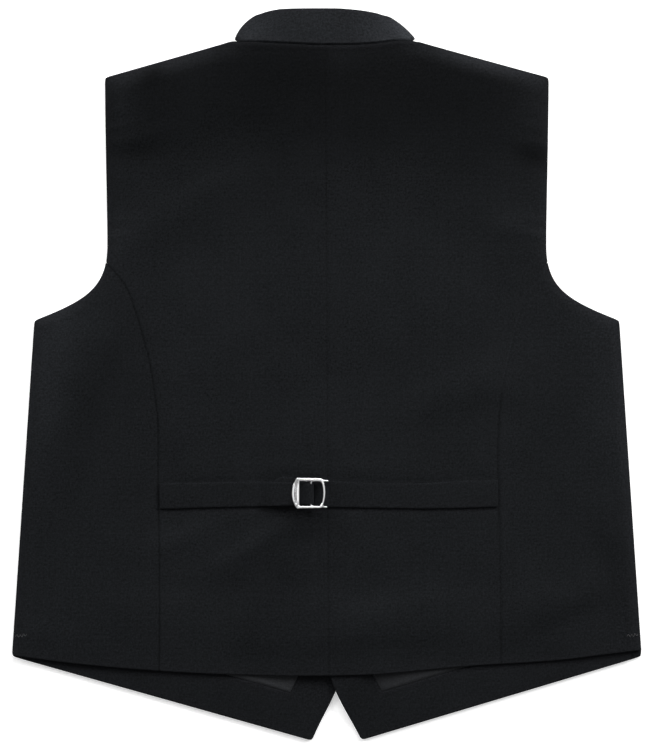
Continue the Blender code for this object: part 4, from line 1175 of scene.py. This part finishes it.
class VestColours(bpy.types.PropertyGroup):
    wool: FloatVectorProperty(name="Wool", description="Middle tone of the back, fronts and collar",
                              default=(0.0081, 0.0087, 0.0098), subtype="COLOR", min=0, max=1)
    belt: FloatVectorProperty(name="Belt", description="Middle tone of the cinch belt",
                              default=(0.0081, 0.0087, 0.0098), subtype="COLOR", min=0, max=1)
    lining: FloatVectorProperty(name="Lining", description="Middle tone of the satin lining",
                                default=(0.0140, 0.0148, 0.0162), subtype="COLOR", min=0, max=1)
    buckle: FloatVectorProperty(name="Buckle", description="Colour of the plated buckle",
                                default=(0.86, 0.86, 0.87), subtype="COLOR", min=0, max=1)
    thread: FloatVectorProperty(name="Tack thread", description="Colour of the bar tacks",
                                default=(0.04, 0.04, 0.043), subtype="COLOR", min=0, max=1)
    wool_roughness: FloatProperty(name="Wool roughness", description="How matt the wool is",
                                  default=0.56, min=0.3, max=1.0, subtype="FACTOR")


class VestStudio(bpy.types.PropertyGroup):
    key: FloatProperty(name="Key light", description="Power of the two softboxes beyond the collar",
                       default=190.0, min=0.0, max=2000.0, unit="POWER")
    fill: FloatProperty(name="Fill light", description="Strength of the even light all round",
                        default=0.32, min=0.0, max=3.0)
    floor: FloatVectorProperty(name="Floor", description="Colour of the floor",
                               default=(0.93, 0.93, 0.93), subtype="COLOR", min=0, max=1)


# ----------------------------------------------------------------------- operators

class VEST_OT_stage(bpy.types.Operator):
    """Floor, soft lights and the camera straight above"""
    bl_idname = "vest.stage"
    bl_label = "Stage"

    def execute(self, context):
        scene, studio = context.scene, context.scene.vest_studio
        bm = bmesh.new()
        bmesh.ops.create_circle(bm, cap_ends=True, segments=96, radius=6.0)
        bmesh.ops.translate(bm, verts=bm.verts[:], vec=(0, 0, -0.0003))
        floor = finished(bm, "floor")
        mat, tree, shader = principled("pale_floor")
        tone = noise(tree, object_place(tree), 3.0)
        plug(tree, shader, [
            ("Base Color", toned(tree, tone, shade(studio.floor, 0.985), studio.floor)),
            ("Roughness", 0.9), ("Specular IOR Level", 0.1),
            ("Emission Color", (1.0, 1.0, 1.0, 1.0)), ("Emission Strength", 0.35)])
        floor.data.materials.append(mat)
        world = bpy.data.worlds.new("studio")
        world.use_nodes = True
        plug(world.node_tree, world.node_tree.nodes["Background"],
             [("Color", (1.0, 1.0, 1.0, 1.0)), ("Strength", studio.fill)])
        scene.world = world
        # lights: name, place, size, share of the key light's power
        for name, at, size, power in (("key_left", (-3.6, 2.4, 1.8), (2.4, 1.4), 0.8),
                                      ("key_right", (3.6, 2.4, 1.8), (2.4, 1.4), 1.45),
                                      ("key_top", (0.0, 4.2, 1.9), (2.4, 1.2), 0.8),
                                      ("overhead", (0.0, 0.0, 5.2), (1.5, 1.5), 0.045)):
            light = bpy.data.lights.new(name, "AREA")
            light.shape, light.size, light.size_y = "RECTANGLE", *size
            light.energy = studio.key * power
            lamp = bpy.data.objects.new(name, light)
            lamp.location = at
            lamp.rotation_mode = "QUATERNION"
            lamp.rotation_quaternion = (-Vector(at)).to_track_quat("-Z", "Y")
            scene.collection.objects.link(lamp)
        lens = bpy.data.cameras.new("camera")
        lens.lens, lens.sensor_width = 180.0, 36.0
        camera = bpy.data.objects.new("camera", lens)
        camera.location = (-0.0003, -0.0002, 3.445)
        scene.collection.objects.link(camera)
        scene.camera = camera
        scene.view_settings.view_transform = "Standard"
        return {"FINISHED"}


class VEST_OT_fronts(bpy.types.Operator):
    """Both fronts with their facings and linings"""
    bl_idname = "vest.fronts"
    bl_label = "Fronts, facings and linings"

    def execute(self, context):
        for side in ("left", "right"):
            front_layers(side, context.scene.vest_cloth)
        return {"FINISHED"}


class VEST_OT_back(bpy.types.Operator):
    """The back's two centre panels and two side panels"""
    bl_idname = "vest.back"
    bl_label = "Back panels"

    def execute(self, context):
        for sign, side in ((-1, "left"), (1, "right")):
            back_center(sign, side, context.scene.vest_cloth)
            back_side(sign, side, context.scene.vest_cloth)
        return {"FINISHED"}


class VEST_OT_collar(bpy.types.Operator):
    """The band collar"""
    bl_idname = "vest.collar"
    bl_label = "Collar"

    def execute(self, context):
        collar(context.scene.vest_cloth)
        return {"FINISHED"}


class VEST_OT_belt(bpy.types.Operator):
    """The cinch belt's two straps"""
    bl_idname = "vest.belt"
    bl_label = "Cinch belt"

    def execute(self, context):
        cloth, half, up = context.scene.vest_cloth, STRAP / 2, (0.0, 0.0, 1.0)
        low, turn = GAP + half, BAR_R + GAP + half
        xs = steps(-49.7, 3, -46.5, 5, -41, 20, -2, 70, 155.6, 2, 156.8)
        strap("strap_right", RIGHT_STRAP, [(x, low, up) for x in xs], cloth)
        # the left strap climbs over the right one's tail, turns round the bar and runs back
        level, over = 3.3 + half, BAR_UP + BAR_R + GAP + half
        xs = steps(-153.2, 2, -152, 40, -64, 16, -46, 14, -23, 14, BAR_X)
        path = [(x, low + (level - low) * smooth((x + 64) / 17)
                 + (over - level) * smooth((x + 23.5) / 7.5), up) for x in xs]
        narrow = len(path) - 1
        for t in np.radians(np.arange(10, 181, 10)):
            path.append((BAR_X + turn * math.sin(t), BAR_UP + turn * math.cos(t),
                         (math.sin(t), 0.0, math.cos(t))))
        path += [(x, BAR_UP - turn, (0.0, 0.0, -1.0)) for x in np.linspace(-16.0, -42.0, 14)]
        strap("strap_left", LEFT_STRAP, path, cloth, narrow)
        return {"FINISHED"}


class VEST_OT_buckle(bpy.types.Operator):
    """The buckle's frame and its bar with two prongs"""
    bl_idname = "vest.buckle"
    bl_label = "Buckle"

    def execute(self, context):
        dress(buckle_frame(), "buckle_frame", "buckle")
        dress(buckle_prongs(), "buckle_prongs", "buckle")
        return {"FINISHED"}


class VEST_OT_sewing(bpy.types.Operator):
    """Pale bar tacks at the foot of the side seams"""
    bl_idname = "vest.sewing"
    bl_label = "Bar tacks"

    def execute(self, context):
        thread = spun("tack_thread", tuple(context.scene.vest_colours.thread))
        for row in TACKS:
            piece = tack(*row)
            piece.data.materials.append(thread)
            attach(piece, "root")
        return {"FINISHED"}


class VEST_PT_pieces(bpy.types.Panel):
    bl_idname = "VEST_PT_pieces"
    bl_label = "Clergy vest"
    bl_space_type = "VIEW_3D"
    bl_region_type = "UI"
    bl_category = "Vest"

    def draw(self, context):
        for group in ("vest_cloth", "vest_colours", "vest_studio"):
            settings = getattr(context.scene, group)
            box = self.layout.box()
            for name in settings.bl_rna.properties.keys():
                if name not in ("rna_type", "name"):
                    box.prop(settings, name)
        for made in MAKERS:
            self.layout.operator(made.bl_idname)


SETTINGS = {"vest_cloth": VestCloth, "vest_colours": VestColours, "vest_studio": VestStudio}
MAKERS = (VEST_OT_stage, VEST_OT_fronts, VEST_OT_back, VEST_OT_collar, VEST_OT_belt,
          VEST_OT_buckle, VEST_OT_sewing)


def register():
    for made in (*SETTINGS.values(), *MAKERS, VEST_PT_pieces):
        bpy.utils.register_class(made)
    for name, group in SETTINGS.items():
        setattr(bpy.types.Scene, name, PointerProperty(type=group))


def unregister():
    for name in SETTINGS:
        delattr(bpy.types.Scene, name)
    for made in reversed((*SETTINGS.values(), *MAKERS, VEST_PT_pieces)):
        bpy.utils.unregister_class(made)


def main():
    register()
    bpy.ops.vest.stage()
    bpy.ops.vest.fronts()
    bpy.ops.vest.back()
    bpy.ops.vest.collar()
    bpy.ops.vest.belt()
    bpy.ops.vest.buckle()
    bpy.ops.vest.sewing()


if __name__ == "__main__":
    main()
